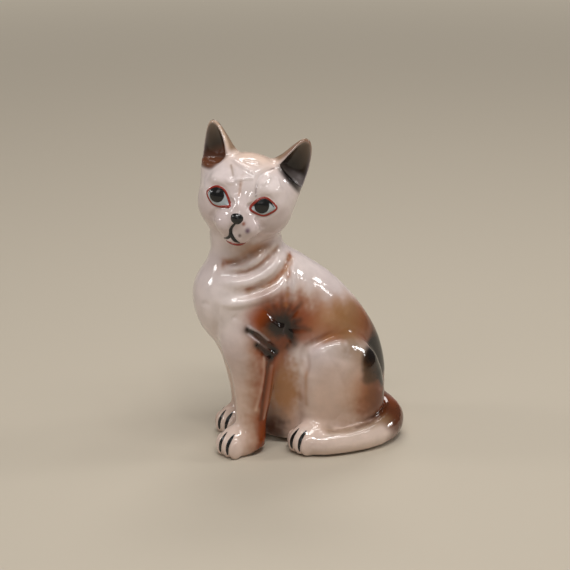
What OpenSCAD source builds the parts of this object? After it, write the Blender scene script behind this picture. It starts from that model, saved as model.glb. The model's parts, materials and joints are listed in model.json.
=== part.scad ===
// Seated ceramic cat with its head turned over its left shoulder.
// The cat faces -Y, its left side is +X, and it stands on z = 0.

/* [Casting] */
// Thickness of the slip-cast wall of the torso and head
wall = 3.5; // [3:0.25:4.5]
// Radius of the vent hole in the base
vent_r = 4.5; // [3:0.25:5.5]
// Thickness of the black, white and red enamel
enamel_t = 0.4; // [0.3:0.05:0.6]

/* [Head] */
// How far the face is turned to the cat's left, in degrees from straight ahead
head_turn = 62; // [55:1:70]
// How far the left ear is lowered, in degrees
head_tilt = 10; // [6:1:14]
// How far the face looks down, in degrees
head_pitch = -6; // [-9:1:0]
// Half width of the skull
skull_w = 20.5; // [19.5:0.25:21]
// Length of an ear above the skull
ear_len = 15.5; // [13:0.5:17]

/* [Body] */
// Distance from the middle plane to the middle of a haunch
haunch_x = 14; // [13:0.25:15]
// Distance from the middle plane to the left foreleg
foreleg_x = 12; // [11:0.25:13]
// Radius of the tail where it lies beside the haunch
tail_r = 5.5; // [5:0.1:6]
// Half width of a paw
paw_w = 7.6; // [7:0.1:8]

/* [Hidden] */

glaze = [0.87, 0.83, 0.81];
tan_glaze = [0.72, 0.52, 0.38];
ear_glaze = [0.36, 0.24, 0.17];
black = [0.04, 0.04, 0.05];
red = [0.45, 0.08, 0.05];
eye_grey = [0.62, 0.68, 0.70];

// Trunk and neck, as level rings: [x, y, z, half width, half length]
trunk = [
    [0, 26, -1, 15, 19],
    [0, 18, 2.5, 16, 28],
    [0, 17, 8, 17.5, 30.5],
    [0, 16.5, 20, 19, 32],
    [0, 14, 32, 19.5, 34],
    [0, 7.5, 45, 19, 37],
    [0, -0.4, 57, 19, 38.3],
    [0, -6.3, 68, 18.5, 35.7],
    [0, -10.3, 77, 17.5, 30.7],
    [0, -13.5, 85, 16, 23],
    [0, -17.2, 92, 14.5, 16.7],
    [0, -18.5, 98, 14, 15.8],
    [0, -18.7, 104, 13.5, 15.5]];
// Left foreleg, from its upper end to the paw
foreleg = [
    [foreleg_x - 4.5, -17, 72, 9, 12],
    [foreleg_x - 1.5, -18.5, 63, 9.7, 14.6],
    [foreleg_x - 0.3, -19.8, 55, 9.6, 14.4],
    [foreleg_x, -20.2, 47, 9, 12.8],
    [foreleg_x, -19.2, 38, 8, 10.4],
    [foreleg_x, -19.4, 24, 6.9, 8],
    [foreleg_x, -20.4, 15, 6.6, 6.9],
    [foreleg_x, -21.4, 7, 6.8, 7.6],
    [foreleg_x, -22.4, 3, 6.6, 8]];
// How far behind the left paw the right one stands
right_paw_back = 7.4;
// Middle line of the tail: [x, y, z, radius]
tail_line = [
    [1, 36, 13, 8],
    [5, 43.5, 10, tail_r + 2.2],
    [13, 45.5, 8, tail_r + 1.7],
    [21, 41, tail_r + 1.3, tail_r + 1.3],
    [26.5, 31.5, tail_r + 0.6, tail_r + 0.6],
    [28.2, 20, tail_r, tail_r],
    [27.6, 9.5, tail_r - 0.2, tail_r - 0.2],
    [25.4, 3.5, tail_r - 0.8, tail_r - 0.8]];
// Haunch: rounded corners at the knee, hip, heel and rump, as [y, z, radius along y and z]
haunch_corners = [[14.5, 39.5, 12.5], [26.5, 34, 13], [12, 13, 10.5], [28.5, 14, 12.5]];
haunch_depth = 11.3;
hind_paw_pos = [haunch_x + 6, 8, 6];
hind_paw_r = [paw_w, 14, 8];
foreleg_paw_pos = [foreleg_x + 0.3, -26, 5.5];
foreleg_paw_r = [paw_w, 10.2, 7.6];
head_pos = [3, -18.7, 114.8];
skull_r = [skull_w, 19, 18.6];
ear_tip = [21, 3, 13 + ear_len];
ear_foot = [14, 2, 13];
eye_pos = [10, 1];
eye_size = [12, 7.6];
eye_slant = 8;
pupil_r = 2.8;
rim_w = 0.8;
nose_z = -6;
// Middle of the figure's outline, so that the origin is under it
outline_mid = [(28.3 + tail_r - haunch_x - 6 - paw_w) / 2, 5.4];

// A point on a smooth curve through a list of points, at step s
function along(p, s) =
    let (
        i = min(floor(s), len(p) - 2),
        f = s - i,
        a = p[max(i - 1, 0)],
        b = p[i],
        c = p[i + 1],
        d = p[min(i + 2, len(p) - 1)]
    )
    (2 * b + (c - a) * f + (2 * a - 5 * b + 4 * c - d) * f ^ 2
        + (3 * b - a - 3 * c + d) * f ^ 3) / 2;

function ring_faces(rings, sides) = concat(
    [for (i = [0 : rings - 2], j = [0 : sides - 1])
        [i * sides + j, i * sides + (j + 1) % sides,
            (i + 1) * sides + (j + 1) % sides, (i + 1) * sides + j]],
    [[for (j = [sides - 1 : -1 : 0]) j]],
    [[for (j = [0 : sides - 1]) (rings - 1) * sides + j]]);

// A solid through level rings, with its sides drawn in by inset
module level_loft(rings, per_ring, sides, inset = 0) {
    steps = (len(rings) - 1) * per_ring;
    upward = rings[0][2] < rings[len(rings) - 1][2];
    points = [for (i = [0 : steps], j = [0 : sides - 1])
        let (r = along(rings, i / per_ring), a = (upward ? 360 : -360) * j / sides)
        [r[0] + (r[3] - inset) * cos(a), r[1] + (r[4] - inset) * sin(a), r[2]]];
    polyhedron(points, [for (f = ring_faces(steps + 1, sides)) [for (k = [len(f) - 1 : -1 : 0]) f[k]]]);
}

// A round bar along a curve that lies nearly level
module bar_along(line, per_point, sides) {
    steps = (len(line) - 1) * per_point;
    points = [for (i = [0 : steps], j = [0 : sides - 1])
        let (
            p = along(line, i / per_point),
            ahead = along(line, min(i + 0.5, steps) / per_point),
            behind = along(line, max(i - 0.5, 0) / per_point),
            way = ahead - behind,
            heading = atan2(way[1], way[0]),
            slope = atan2(way[2], norm([way[0], way[1]])),
            a = 360 * j / sides,
            across = p[3] * cos(a),
            up = p[3] * sin(a)
        )
        [p[0] - across * sin(heading) - up * sin(slope) * cos(heading),
            p[1] + across * cos(heading) - up * sin(slope) * sin(heading),
            p[2] + up * cos(slope)]];
    polyhedron(points, [for (f = ring_faces(steps + 1, sides)) [for (k = [len(f) - 1 : -1 : 0]) f[k]]]);
}

module blob(pos, r, sides = 32) {
    translate(pos) scale(r) sphere(1, $fn = sides);
}

// Joins its children into one fired skin, at their own size
module as_cast() {
    resize([0, 0, 0]) children();
}

module in_place() {
    translate([-outline_mid[0], -outline_mid[1], 0]) children();
}

module above_floor() {
    intersection() {
        children();
        translate([-100, -100, 0]) cube([200, 200, 200]);
    }
}

module both_sides() {
    children();
    mirror([1, 0, 0]) children();
}

module torso_form() {
    level_loft(trunk, 2, 34);
    both_sides() hull() {
        for (c = haunch_corners) {
            blob([haunch_x, c[0], c[1]], [haunch_depth, c[2], c[2]]);
        }
    }
}

module torso_cavity() {
    intersection() {
        level_loft(trunk, 1, 24, wall);
        translate([-50, -60, wall]) cube([100, 120, 150]);
    }
}

module torso() {
    color(glaze) in_place() difference() {
        as_cast() difference() {
            above_floor() torso_form();
            torso_cavity();
        }
        translate([0, 26, -1]) cylinder(h = wall + 3, r = vent_r, $fn = 64);
    }
}

module head_frame() {
    translate(head_pos) rotate([0, 0, head_turn]) rotate([head_pitch, head_tilt, 0]) children();
}

// The head with its surface raised by skin
module head_form(skin = 0) {
    raise = [skin, skin, skin];
    head_frame() {
        blob([0, 0, 1], skull_r + raise, 36);
        both_sides() blob([10.2, -3, -4.5], [8.6, 11, 9] + raise);
        both_sides() blob([4.2, -15.5, -9.5], [5.6, 6, 5.4] + raise, 24);
        blob([0, -15, -4.5], [5.5, 7.5, 6.5] + raise, 24);
        blob([0, -14, -13.8], [5, 5, 4.2] + raise, 24);
    }
}

module head() {
    color(glaze) in_place() as_cast() difference() {
        head_form();
        torso_form();
        head_frame() blob([0, 1, 1], skull_r - [wall, wall, wall], 28);
        above_neck();
    }
}

// The hollow that joins the head's cavity to the torso's
module above_neck() {
    translate([head_pos[0] - 2, head_pos[1], 103]) cylinder(h = 6, r = 10, $fn = 28);
}

module ear_form(inset) {
    hull() {
        translate(ear_foot) rotate([0, 38, 0]) blob([0, 0, 0], [9 - inset, 5.4 - inset, 3], 24);
        blob(ear_tip - [0.4 * inset, 0, inset * 1.6], [2.2, 1.6, 2.4] * (1 - inset / 4), 16);
        blob(ear_tip + [0.8 - inset, 0, -8], [1.8, 2, 3], 16);
    }
}

module ear(side) {
    color(ear_glaze) in_place() as_cast() difference() {
        head_frame() mirror([side < 0 ? 1 : 0, 0, 0]) difference() {
            ear_form(0);
            translate([1.2, -2.6, 0.6]) ear_form(1.5);
        }
        head_form();
    }
}

module ear_left() {
    ear(1);
}

module ear_right() {
    ear(-1);
}

// The left foreleg, or with its paw drawn back the mirror image of the right one
module foreleg_form(back = 0, skin = 0) {
    top_z = foreleg[0][2];
    leg = [for (r = foreleg) r + [0, back * (1 - r[2] / top_z), 0, 0, 0]];
    paw = foreleg_paw_pos + [0, back, 0];
    above_floor() {
        level_loft(leg, 2, 24, -skin);
        blob(paw, foreleg_paw_r + [skin, skin, skin], 28);
        toes(paw, skin, -8);
    }
}

// Four rounded toes along the front of a paw
module toes(paw, skin, reach) {
    for (x = [-4.8, -1.7, 1.7, 4.8]) {
        blob(paw + [x, reach + abs(x) * 0.45, -1.2], [2.4, 3.4, 4.4] + [skin, skin, skin], 14);
    }
}

module foreleg_left() {
    color(glaze) in_place() as_cast() difference() {
        foreleg_form();
        torso_form();
    }
}

module foreleg_right() {
    color(glaze) in_place() as_cast() difference() {
        mirror([1, 0, 0]) foreleg_form(right_paw_back);
        torso_form();
    }
}

module hind_paw_form(skin = 0) {
    above_floor() {
        blob(hind_paw_pos, hind_paw_r + [skin, skin, skin]);
        toes(hind_paw_pos, skin, -11.2);
    }
}

module hind_paw_left() {
    color(glaze) in_place() as_cast() difference() {
        hind_paw_form();
        torso_form();
    }
}

module hind_paw_right() {
    color(glaze) in_place() as_cast() difference() {
        mirror([1, 0, 0]) hind_paw_form();
        torso_form();
    }
}

module tail() {
    tip = tail_line[len(tail_line) - 1];
    color(tan_glaze) in_place() as_cast() difference() {
        above_floor() {
            bar_along(tail_line, 3, 20);
            translate([tip[0], tip[1], tip[2]]) sphere(tip[3], $fn = 20);
        }
        torso_form();
        hind_paw_form();
    }
}

// A layer of enamel on the face, where the outline of the children covers it
module face_enamel() {
    as_cast() intersection() {
        difference() {
            head_form(enamel_t);
            head_form();
        }
        head_frame() rotate([90, 0, 0]) linear_extrude(30) children();
    }
}

module almond(size, grow) {
    arc_r = (size[0] ^ 2 + size[1] ^ 2) / (4 * size[1]);
    intersection() {
        translate([0, size[1] / 2 - arc_r]) circle(arc_r + grow, $fn = 64);
        translate([0, arc_r - size[1] / 2]) circle(arc_r + grow, $fn = 64);
    }
}

module at_eye(side) {
    mirror([side < 0 ? 1 : 0, 0]) translate(eye_pos) rotate(eye_slant) children();
}

module eye_rim(side) {
    color(red) in_place() face_enamel() at_eye(side) difference() {
        almond(eye_size, 0);
        almond(eye_size, -rim_w);
    }
}

module eye_white(side) {
    color(eye_grey) in_place() face_enamel() at_eye(side) difference() {
        almond(eye_size, -rim_w);
        circle(pupil_r, $fn = 32);
    }
}

module pupil(side) {
    color(black) in_place() face_enamel() at_eye(side) intersection() {
        almond(eye_size, -rim_w);
        circle(pupil_r, $fn = 32);
    }
}

module eye_rim_left() {
    eye_rim(1);
}

module eye_rim_right() {
    eye_rim(-1);
}

module eye_white_left() {
    eye_white(1);
}

module eye_white_right() {
    eye_white(-1);
}

module pupil_left() {
    pupil(1);
}

module pupil_right() {
    pupil(-1);
}

module nose() {
    color(black) in_place() face_enamel() translate([0, nose_z]) hull() {
        translate([-1.6, 0.8]) circle(1.1, $fn = 20);
        translate([1.6, 0.8]) circle(1.1, $fn = 20);
        translate([0, -1.6]) circle(0.8, $fn = 20);
    }
}

// The black line from the nose, which forks under the muzzle
module mouth_line() {
    color(black) in_place() face_enamel() {
        translate([-0.6, nose_z - 6.4]) square([1.2, 3.6]);
        both_sides() intersection() {
            translate([2.7, nose_z - 6.4]) difference() {
                circle(3.3, $fn = 40);
                circle(2.1, $fn = 40);
            }
            translate([-1, nose_z - 10]) square([4.5, 4]);
        }
    }
}

module lower_lip() {
    color(red) in_place() face_enamel() translate([0, nose_z - 10.8]) almond([6, 1.4], 0);
}

// Three lines that part the toes of a paw and end just above the floor
module toe_lines(reach) {
    for (x = [-3.4, 0, 3.4]) {
        translate([x, reach, 0.8]) rotate([0, 0, x * 4]) translate([-0.55, -4.5, 0]) cube([1.1, 9, 14]);
    }
}

module foreleg_toe_lines(back = 0) {
    intersection() {
        difference() {
            foreleg_form(back, enamel_t);
            foreleg_form(back);
        }
        translate([foreleg_paw_pos[0], back, 0]) toe_lines(-34);
    }
}

module hind_paw_toe_lines() {
    intersection() {
        difference() {
            hind_paw_form(enamel_t);
            hind_paw_form();
        }
        translate([hind_paw_pos[0], 0, 0]) toe_lines(-4);
    }
}

module foreleg_left_toe_lines() {
    color(black) in_place() as_cast() foreleg_toe_lines();
}

module foreleg_right_toe_lines() {
    color(black) in_place() as_cast() mirror([1, 0, 0]) foreleg_toe_lines(right_paw_back);
}

module hind_paw_left_toe_lines() {
    color(black) in_place() as_cast() hind_paw_toe_lines();
}

module hind_paw_right_toe_lines() {
    color(black) in_place() as_cast() mirror([1, 0, 0]) hind_paw_toe_lines();
}

torso();
head();
ear_left();
ear_right();
foreleg_left();
foreleg_right();
hind_paw_left();
hind_paw_right();
tail();
eye_rim_left();
eye_rim_right();
eye_white_left();
eye_white_right();
pupil_left();
pupil_right();
nose();
mouth_line();
lower_lip();
foreleg_left_toe_lines();
foreleg_right_toe_lines();
hind_paw_left_toe_lines();
hind_paw_right_toe_lines();
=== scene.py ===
"""A seated ceramic cat: slip-cast members luted together, airbrushed, glazed and painted with enamel.

The clay is a field of distances that forms are added to and lines are pressed into. It is measured in the
potter's millimetres: x across the cat from its middle plane, y from its chest back to its tail, z up from its
foot.
"""
import functools
import json
import math
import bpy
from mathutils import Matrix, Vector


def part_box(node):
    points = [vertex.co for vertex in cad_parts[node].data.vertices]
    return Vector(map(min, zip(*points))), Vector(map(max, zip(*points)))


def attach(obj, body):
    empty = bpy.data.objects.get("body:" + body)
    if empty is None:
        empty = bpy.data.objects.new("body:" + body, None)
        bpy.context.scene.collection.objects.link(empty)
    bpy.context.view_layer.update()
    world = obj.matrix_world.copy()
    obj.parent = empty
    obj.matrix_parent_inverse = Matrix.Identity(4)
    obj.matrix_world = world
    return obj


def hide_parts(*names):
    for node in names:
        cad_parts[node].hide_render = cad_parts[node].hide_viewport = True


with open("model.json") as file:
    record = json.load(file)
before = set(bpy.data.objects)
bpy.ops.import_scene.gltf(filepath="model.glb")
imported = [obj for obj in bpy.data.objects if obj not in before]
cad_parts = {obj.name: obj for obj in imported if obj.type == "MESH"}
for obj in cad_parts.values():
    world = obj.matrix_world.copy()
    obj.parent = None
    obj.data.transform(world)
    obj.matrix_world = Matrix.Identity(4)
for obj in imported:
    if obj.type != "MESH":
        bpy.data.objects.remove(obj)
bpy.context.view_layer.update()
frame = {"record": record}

import types

import bmesh
import bpy
import numpy as np
import openvdb
from mathutils import Matrix, Vector

bl_info = {
    "name": "Ceramic cat figurine",
    "version": (1, 0, 0),
    "blender": (4, 5, 0),
    "location": "View3D > Sidebar > Cat",
    "description": "Models, glazes and paints a seated ceramic cat around its measured frame",
    "category": "Object",
}

# The potter's millimetre and the cat's own origin, both taken from the torso in the frame. Snug shrinks the
# cat a little and the side step moves it across, so that its finer form stays inside the frame's box.
TORSO_TALL = 104.0
CHEST_FRONT = -42.2
SNUG = 0.995
SIDE_STEP = 0.15
TORSO_LOW, TORSO_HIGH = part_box("torso")
UNIT = SNUG * (TORSO_HIGH.z - TORSO_LOW.z) / TORSO_TALL
HOME = np.array([
    (TORSO_LOW.x + TORSO_HIGH.x) / 2 + SIDE_STEP * UNIT,
    TORSO_LOW.y - CHEST_FRONT * UNIT,
    TORSO_LOW.z,
])
MOUNTS = {mount["name"]: mount for mount in frame["record"]["mounts"]}

BODY = "root"
# The cat's left is on positive x
SIDES = ((1, "left"), (-1, "right"))
FAR = 4.0
HEAD_HOME = np.array([3.0, -18.7, 114.8])
HEAD_TURN, HEAD_TILT, HEAD_PITCH = 62.0, 10.0, -6.0
PAW_TURN = 10.0


# ---------------------------------------------------------------- paths and forms

def smooth_path(stations, per_span=6, closed=False):
    """Points on a smooth curve through the stations, whatever each station holds."""
    points = np.array(stations, float)
    if closed:
        guides = np.vstack([points[-1:], points, points[:2]])
    else:
        guides = np.vstack([2 * points[:1] - points[1:2], points, 2 * points[-1:] - points[-2:-1]])
    t = np.linspace(0, 1, per_span, endpoint=False)[:, None]
    spans = [
        0.5 * (2 * b + (c - a) * t + (2 * a - 5 * b + 4 * c - d) * t ** 2 + (3 * b - a - 3 * c + d) * t ** 3)
        for a, b, c, d in zip(guides, guides[1:], guides[2:], guides[3:])
    ]
    return np.vstack(spans if closed else spans + [points[-1:]])


def turn_matrix(turn, tilt=0.0, pitch=0.0):
    """A turn about z, after a tilt about y, after a pitch about x, in degrees."""
    angles = [math.radians(angle) for angle in (turn, tilt, pitch)]
    product = Matrix.Rotation(angles[0], 3, "Z") @ Matrix.Rotation(angles[1], 3, "Y")
    return np.array(product @ Matrix.Rotation(angles[2], 3, "X"))


class Form:
    """A solid: its box, and a rule that gives the distance from any point to its surface."""

    def __init__(self, low, high, measure):
        self.low = np.array(low, float)
        self.high = np.array(high, float)
        self.measure = measure

    def placed(self, turn, home):
        """The same form, turned and carried to a new home."""
        corners = np.array([[x, y, z] for x in (self.low[0], self.high[0])
                            for y in (self.low[1], self.high[1]) for z in (self.low[2], self.high[2])])
        corners = corners @ turn.T + home

        def measure(x, y, z):
            gaps = (x - home[0], y - home[1], z - home[2])
            return self.measure(*[sum(turn[j, i] * gaps[j] for j in range(3)) for i in range(3)])

        return Form(corners.min(0), corners.max(0), measure)

    def mirrored(self):
        """The same form on the cat's other side."""
        low = [-self.high[0], self.low[1], self.low[2]]
        high = [-self.low[0], self.high[1], self.high[2]]
        return Form(low, high, lambda x, y, z: self.measure(-x, y, z))

    def grown(self, by):
        """The same form with its surface moved out."""
        return Form(self.low - by, self.high + by, lambda x, y, z: self.measure(x, y, z) - by)


def egg(centre, radii):
    """An ellipsoid."""
    centre, radii = np.array(centre, float), np.array(radii, float)

    def measure(x, y, z):
        px, py, pz = ((v - c) / r for v, c, r in zip((x, y, z), centre, radii))
        reach = np.sqrt(px * px + py * py + pz * pz)
        steep = np.sqrt((px / radii[0]) ** 2 + (py / radii[1]) ** 2 + (pz / radii[2]) ** 2)
        return (np.maximum(reach, 1e-4) * (reach - 1) / np.maximum(steep, 1e-6)).astype(np.float32)

    return Form(centre - radii, centre + radii, measure)


def limb(stations, squash=1.0, closed=False, per_span=4):
    """A round limb through stations of x, y, z and radius. Squash narrows it across the cat."""
    path = smooth_path(stations, per_span, closed)
    if closed:
        path = np.vstack([path, path[:1]])
    middle = path[:, 0].mean()

    def measure(x, y, z):
        best = None
        wide = middle + (x - middle) / squash
        for a, b in zip(path, path[1:]):
            run = b[:3] - a[:3]
            t = ((wide - a[0]) * run[0] + (y - a[1]) * run[1] + (z - a[2]) * run[2]) / max(run @ run, 1e-9)
            t = np.clip(t, 0, 1)
            gap = np.sqrt((wide - a[0] - t * run[0]) ** 2 + (y - a[1] - t * run[1]) ** 2
                          + (z - a[2] - t * run[2]) ** 2) - (a[3] + t * (b[3] - a[3]))
            best = gap if best is None else np.minimum(best, gap)
        return (best * min(1.0, squash)).astype(np.float32)

    reach = path[:, 3].max()
    return Form(path[:, :3].min(0) - reach, path[:, :3].max(0) + reach, measure)


def loft(rings, per_span=8):
    """A form through level rings of z, x, y, half width and half length, lowest first."""
    path = smooth_path(rings, per_span)
    bottom, top = path[0, 0], path[-1, 0]
    wide, long = path[:, 3].max(), path[:, 4].max()

    def measure(x, y, z):
        level = z.ravel()
        mid_x, mid_y, half, length = (
            np.interp(level, path[:, 0], path[:, i]).reshape(z.shape) for i in (1, 2, 3, 4))
        px, py = (x - mid_x) / half, (y - mid_y) / length
        reach = np.sqrt(px * px + py * py)
        steep = np.sqrt((px / half) ** 2 + (py / length) ** 2)
        gap = np.maximum(reach, 1e-4) * (reach - 1) / np.maximum(steep, 1e-6)
        slope = np.gradient(gap, float(level[1] - level[0]), axis=2)
        gap = gap / np.sqrt(1 + slope * slope)
        return np.maximum(gap, np.maximum(z - top, bottom - z)).astype(np.float32)

    low = [path[:, 1].min() - wide, path[:, 2].min() - long, bottom]
    high = [path[:, 1].max() + wide, path[:, 2].max() + long, top]
    return Form(low, high, measure)


# ---------------------------------------------------------------- clay

def soft_min(a, b, blend):
    """The nearer of two surfaces, with a fillet where they meet."""
    near = np.maximum(blend - np.abs(a - b), 0) / blend
    return np.minimum(a, b) - near * near * (blend / 4)


class Block:
    """Evenly spaced points that hold their distance to the surface, below zero inside the clay."""

    def __init__(self, low, high, pitch):
        self.low = np.array(low, float)
        self.pitch = pitch
        count = np.ceil((np.array(high) - self.low) / pitch).astype(int) + 1
        self.high = self.low + pitch * (count - 1)
        self.field = np.full(count, FAR, np.float32)

    def window(self, low, high):
        """The part of the block between two corners: its slices and its points' coordinates."""
        shape = np.array(self.field.shape)
        first = np.clip(np.floor((low - self.low) / self.pitch).astype(int), 0, shape)
        last = np.clip(np.ceil((high - self.low) / self.pitch).astype(int) + 1, 0, shape)
        if (last - first).min() < 2:
            return None, None
        axes = [
            (self.low[i] + self.pitch * np.arange(first[i], last[i])).astype(np.float32) for i in range(3)
        ]
        return tuple(slice(a, b) for a, b in zip(first, last)), np.ix_(*axes)

    def depth(self, points):
        """The distance from each point to the surface, read between the block's points."""
        place = (points - self.low) / self.pitch
        cell = np.clip(np.floor(place).astype(int), 0, np.array(self.field.shape) - 2)
        part = np.clip(place - cell, 0, 1)
        total = np.zeros(len(points))
        for corner in np.ndindex(2, 2, 2):
            share = np.prod(np.where(corner, part, 1 - part), axis=1)
            total += share * self.field[tuple((cell + corner).T)]
        return total

    def surface(self, name):
        """The clay's skin as a closed mesh of small squares, pointing outwards."""
        field = np.clip(self.field, -FAR, FAR)
        for axis in range(3):
            np.moveaxis(field, axis, 0)[[0, -1]] = FAR
        grid = openvdb.FloatGrid(FAR)
        grid.copyFromArray(field)
        grid.gridClass = openvdb.GridClass.LEVEL_SET
        points, quads = grid.convertToQuads(0.0)
        return mesh_object(name, points * self.pitch + self.low, quads[:, ::-1])


class Clay:
    """Blocks of clay that are worked together, the finest last."""

    def __init__(self, *blocks):
        self.blocks = blocks

    def add(self, form, blend=0.6):
        """Lutes a form on, with a fillet as wide as the blend."""
        for block in self.blocks:
            spans, here = block.window(form.low - blend - 2, form.high + blend + 2)
            if spans:
                block.field[spans] = soft_min(block.field[spans], form.measure(*here), blend)

    def cut(self, form, blend=0.6):
        """Takes a form away."""
        for block in self.blocks:
            spans, here = block.window(form.low - blend - 2, form.high + blend + 2)
            if spans:
                block.field[spans] = -soft_min(-block.field[spans], form.measure(*here), blend)

    def press(self, path, width, depth, ends=0.3):
        """Draws a tool along the surface. A depth above zero leaves a furrow, below zero a ridge.

        Ends is the share of the path over which the line fades in, and out.
        """
        path = self.settle(smooth_path(path, 4))
        for block in self.blocks:
            spans, here = block.window(path.min(0) - 2.6 * width, path.max(0) + 2.6 * width)
            if not spans:
                continue
            part = block.field[spans]
            near = np.abs(part) < 2.6 * width
            spots = np.stack([np.broadcast_to(axis, part.shape)[near] for axis in here], 1)
            gap, along = nearest_on(path, spots)
            fade = np.clip(np.minimum(along, 1 - along) / max(ends, 1e-3), 0, 1)
            fade = fade * fade * (3 - 2 * fade)
            part[near] += depth * fade * np.exp(-(gap / width) ** 2)

    def read(self, points, value):
        """Reads a value for each point from the finest block that holds it."""
        result = value(self.blocks[0], points)
        for block in self.blocks[1:]:
            inside = ((points > block.low + block.pitch) & (points < block.high - block.pitch)).all(1)
            if inside.any():
                result[inside] = value(block, points[inside])
        return result

    def depth(self, points):
        """The distance from each point to the surface."""
        return self.read(points, lambda block, spots: block.depth(spots))

    def outward(self, points):
        """The direction that points straight out of the clay."""
        def slope(block, spots):
            steps = np.eye(3) * block.pitch
            return np.stack([block.depth(spots + step) - block.depth(spots - step) for step in steps], 1)

        slopes = self.read(points, slope)
        return slopes / np.maximum(np.linalg.norm(slopes, axis=1, keepdims=True), 1e-9)

    def settle(self, points, rounds=5):
        """Moves points onto the surface."""
        points = np.array(points, float)
        for _ in range(rounds):
            points = points - self.depth(points)[:, None] * self.outward(points)
        return points

    def drop(self, points, way, reach=30.0, step=0.4):
        """Moves points along one direction until they meet the surface, then settles them there."""
        points = np.array(points, float)
        moving = np.ones(len(points), bool)
        for _ in range(int(reach / step)):
            moving &= self.depth(points) > 0
            if not moving.any():
                break
            points[moving] += step * way
        for _ in range(6):
            points -= 0.5 * np.maximum(-self.depth(points), -step)[:, None] * way
        return points


def nearest_on(path, spots):
    """How far each spot is from a path, and how far along it the nearest point lies."""
    best = np.full(len(spots), 1e9)
    along = np.zeros(len(spots))
    lengths = np.linalg.norm(np.diff(path, axis=0), axis=1)
    starts = np.concatenate([[0], np.cumsum(lengths)])
    for a, b, start, length in zip(path, path[1:], starts, lengths):
        run = b - a
        t = np.clip((spots - a) @ run / max(run @ run, 1e-9), 0, 1)
        gap = ((spots - a - t[:, None] * run) ** 2).sum(1)
        closer = gap < best
        best = np.where(closer, gap, best)
        along = np.where(closer, (start + t * length) / starts[-1], along)
    return np.sqrt(best), along


# ---------------------------------------------------------------- modelling the cat

HEAD_AXES = turn_matrix(HEAD_TURN, HEAD_TILT, HEAD_PITCH)
FACE_WAY = HEAD_AXES @ np.array([0.0, 1.0, 0.0])

# Rings of the trunk: z, x, y, half width, half length
TRUNK = [
    (-1, 0, 26, 14, 19), (2.5, 0, 18, 15, 28), (8, 0, 17, 16, 30.5), (20, 0, 16.5, 17, 32),
    (32, 0, 14, 17.6, 34), (45, 0, 7.5, 18.3, 37), (57, 0, -0.4, 18.8, 38.3), (68, 0, -6.3, 18.5, 35.7),
    (77, 0, -10.3, 17.5, 30.7), (85, 0, -13.5, 16, 23), (92, 0, -17.2, 14.5, 16.7),
    (98, 0, -18.5, 14, 15.8), (104, 0, -18.7, 13.5, 15.5),
]
# Rings of the left foreleg, given as for the trunk, from its foot to its shoulder
FORELEG = [
    (3, 12, -22.4, 6.6, 8), (7, 12, -21.4, 6.8, 7.6), (15, 12, -20.4, 6.6, 6.9), (24, 12, -19.4, 6.9, 8),
    (38, 12, -19.2, 8, 10.4), (47, 12, -20.2, 9, 12.8), (55, 11.7, -19.8, 9.6, 14.4),
    (63, 10.5, -18.5, 9.7, 14.6), (72, 7.5, -17, 9, 12),
]
# How far the right foreleg's foot stands behind the left one's, and the height at which they are level again
FAR_LEG_BACK = 7.4
SHOULDER_HIGH = 72
# The heart of the armpit, and the tips of the creases that run out from it
ARMPIT = (18.6, -7.7, 58.8)
STAR = [(18, 0.4, 69.2), (18, -4.2, 71.1), (17.9, -8.8, 73.9), (17.9, -13.4, 72.1), (17.5, -17, 70.1),
        (18.7, 0.2, 61.6), (18.8, 4.9, 56.4), (18.7, -2.1, 50.2)]
THIGH = [(14, 14.5, 39.5, 12.3), (14, 26.5, 34, 13), (14, 28.5, 14, 12.5), (14, 13, 13, 10.5)]
TAIL = [
    (1, 36, 13, 8), (5, 43.5, 10, 7.7), (13, 45.5, 8, 7.2), (21, 41, 6.8, 6.8), (26.5, 31.5, 6.1, 6.1),
    (28.2, 20, 5.5, 5.5), (27.6, 9.5, 5.3, 5.3), (25.4, 3.5, 4.7, 4.7),
]
FOREPAW, FOREPAW_R = (12.3, -26, 5.5), (7.6, 10.2, 7.6)
HIND_PAW, HIND_PAW_R = (20, 8, 6), (7.6, 14, 8)
# Where the middle of the toes' row stands, along y from its paw's middle
FOREPAW_REACH, HIND_PAW_REACH = -8.0, -11.2
TOES = ((-5.4, 2.3), (-1.2, 2.8), (2.9, 2.1), (6.0, 1.8))
TOE_GAPS = (-3.9, 0.6, 4.4)


# The slit behind the elbow, and what is pressed into the left foreleg: path, width, depth, and the share of
# the path over which its ends fade, where that isn't the usual one
SLIT = [(20, -24.3, 60.3), (21.1, -20.1, 57), (20.7, -15.4, 52.6), (18.3, -10.9, 47.9)]
FORELEG_LINES = [
    ([(x, y, z + 2.1) for x, y, z in SLIT], 0.8, -1.3),
    ([(x, y, z - 2.1) for x, y, z in SLIT], 0.8, -1.5),
    (SLIT, 1.5, 3.8, 0.3),
    ([(20.9, -21, 53.8), (20.5, -17, 49.8), (19.2, -13.2, 46.2)], 1.4, 2.6, 0.2),
    ([(20.7, -17.3, 49), (19.9, -17.5, 38.6), (19.3, -18.7, 30.5), (18.8, -20.5, 22)], 1.1, -0.6),
    ([(19.6, -14.2, 48), (19.2, -15.5, 38), (18.6, -16.7, 29), (18.2, -18.2, 19)], 1.0, 0.8),
    ([(18.3, -11.3, 47), (18.4, -13.3, 37.5), (17.9, -14.5, 28), (17.5, -16.3, 15)], 1.1, -0.7),
    ([(11.3, -34.5, 73), (11, -34.5, 65.5), (9.6, -33.7, 58), (11.7, -34, 52.7)], 1.6, 0.8),
    ([(5.8, -40.1, 69.5), (8.3, -38.1, 70.6), (10.2, -36, 70.5)], 1.0, 0.35),
    ([(15, -29.2, 66.6), (16.2, -28.2, 65)], 1.1, 0.5, 0.1),
]


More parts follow.
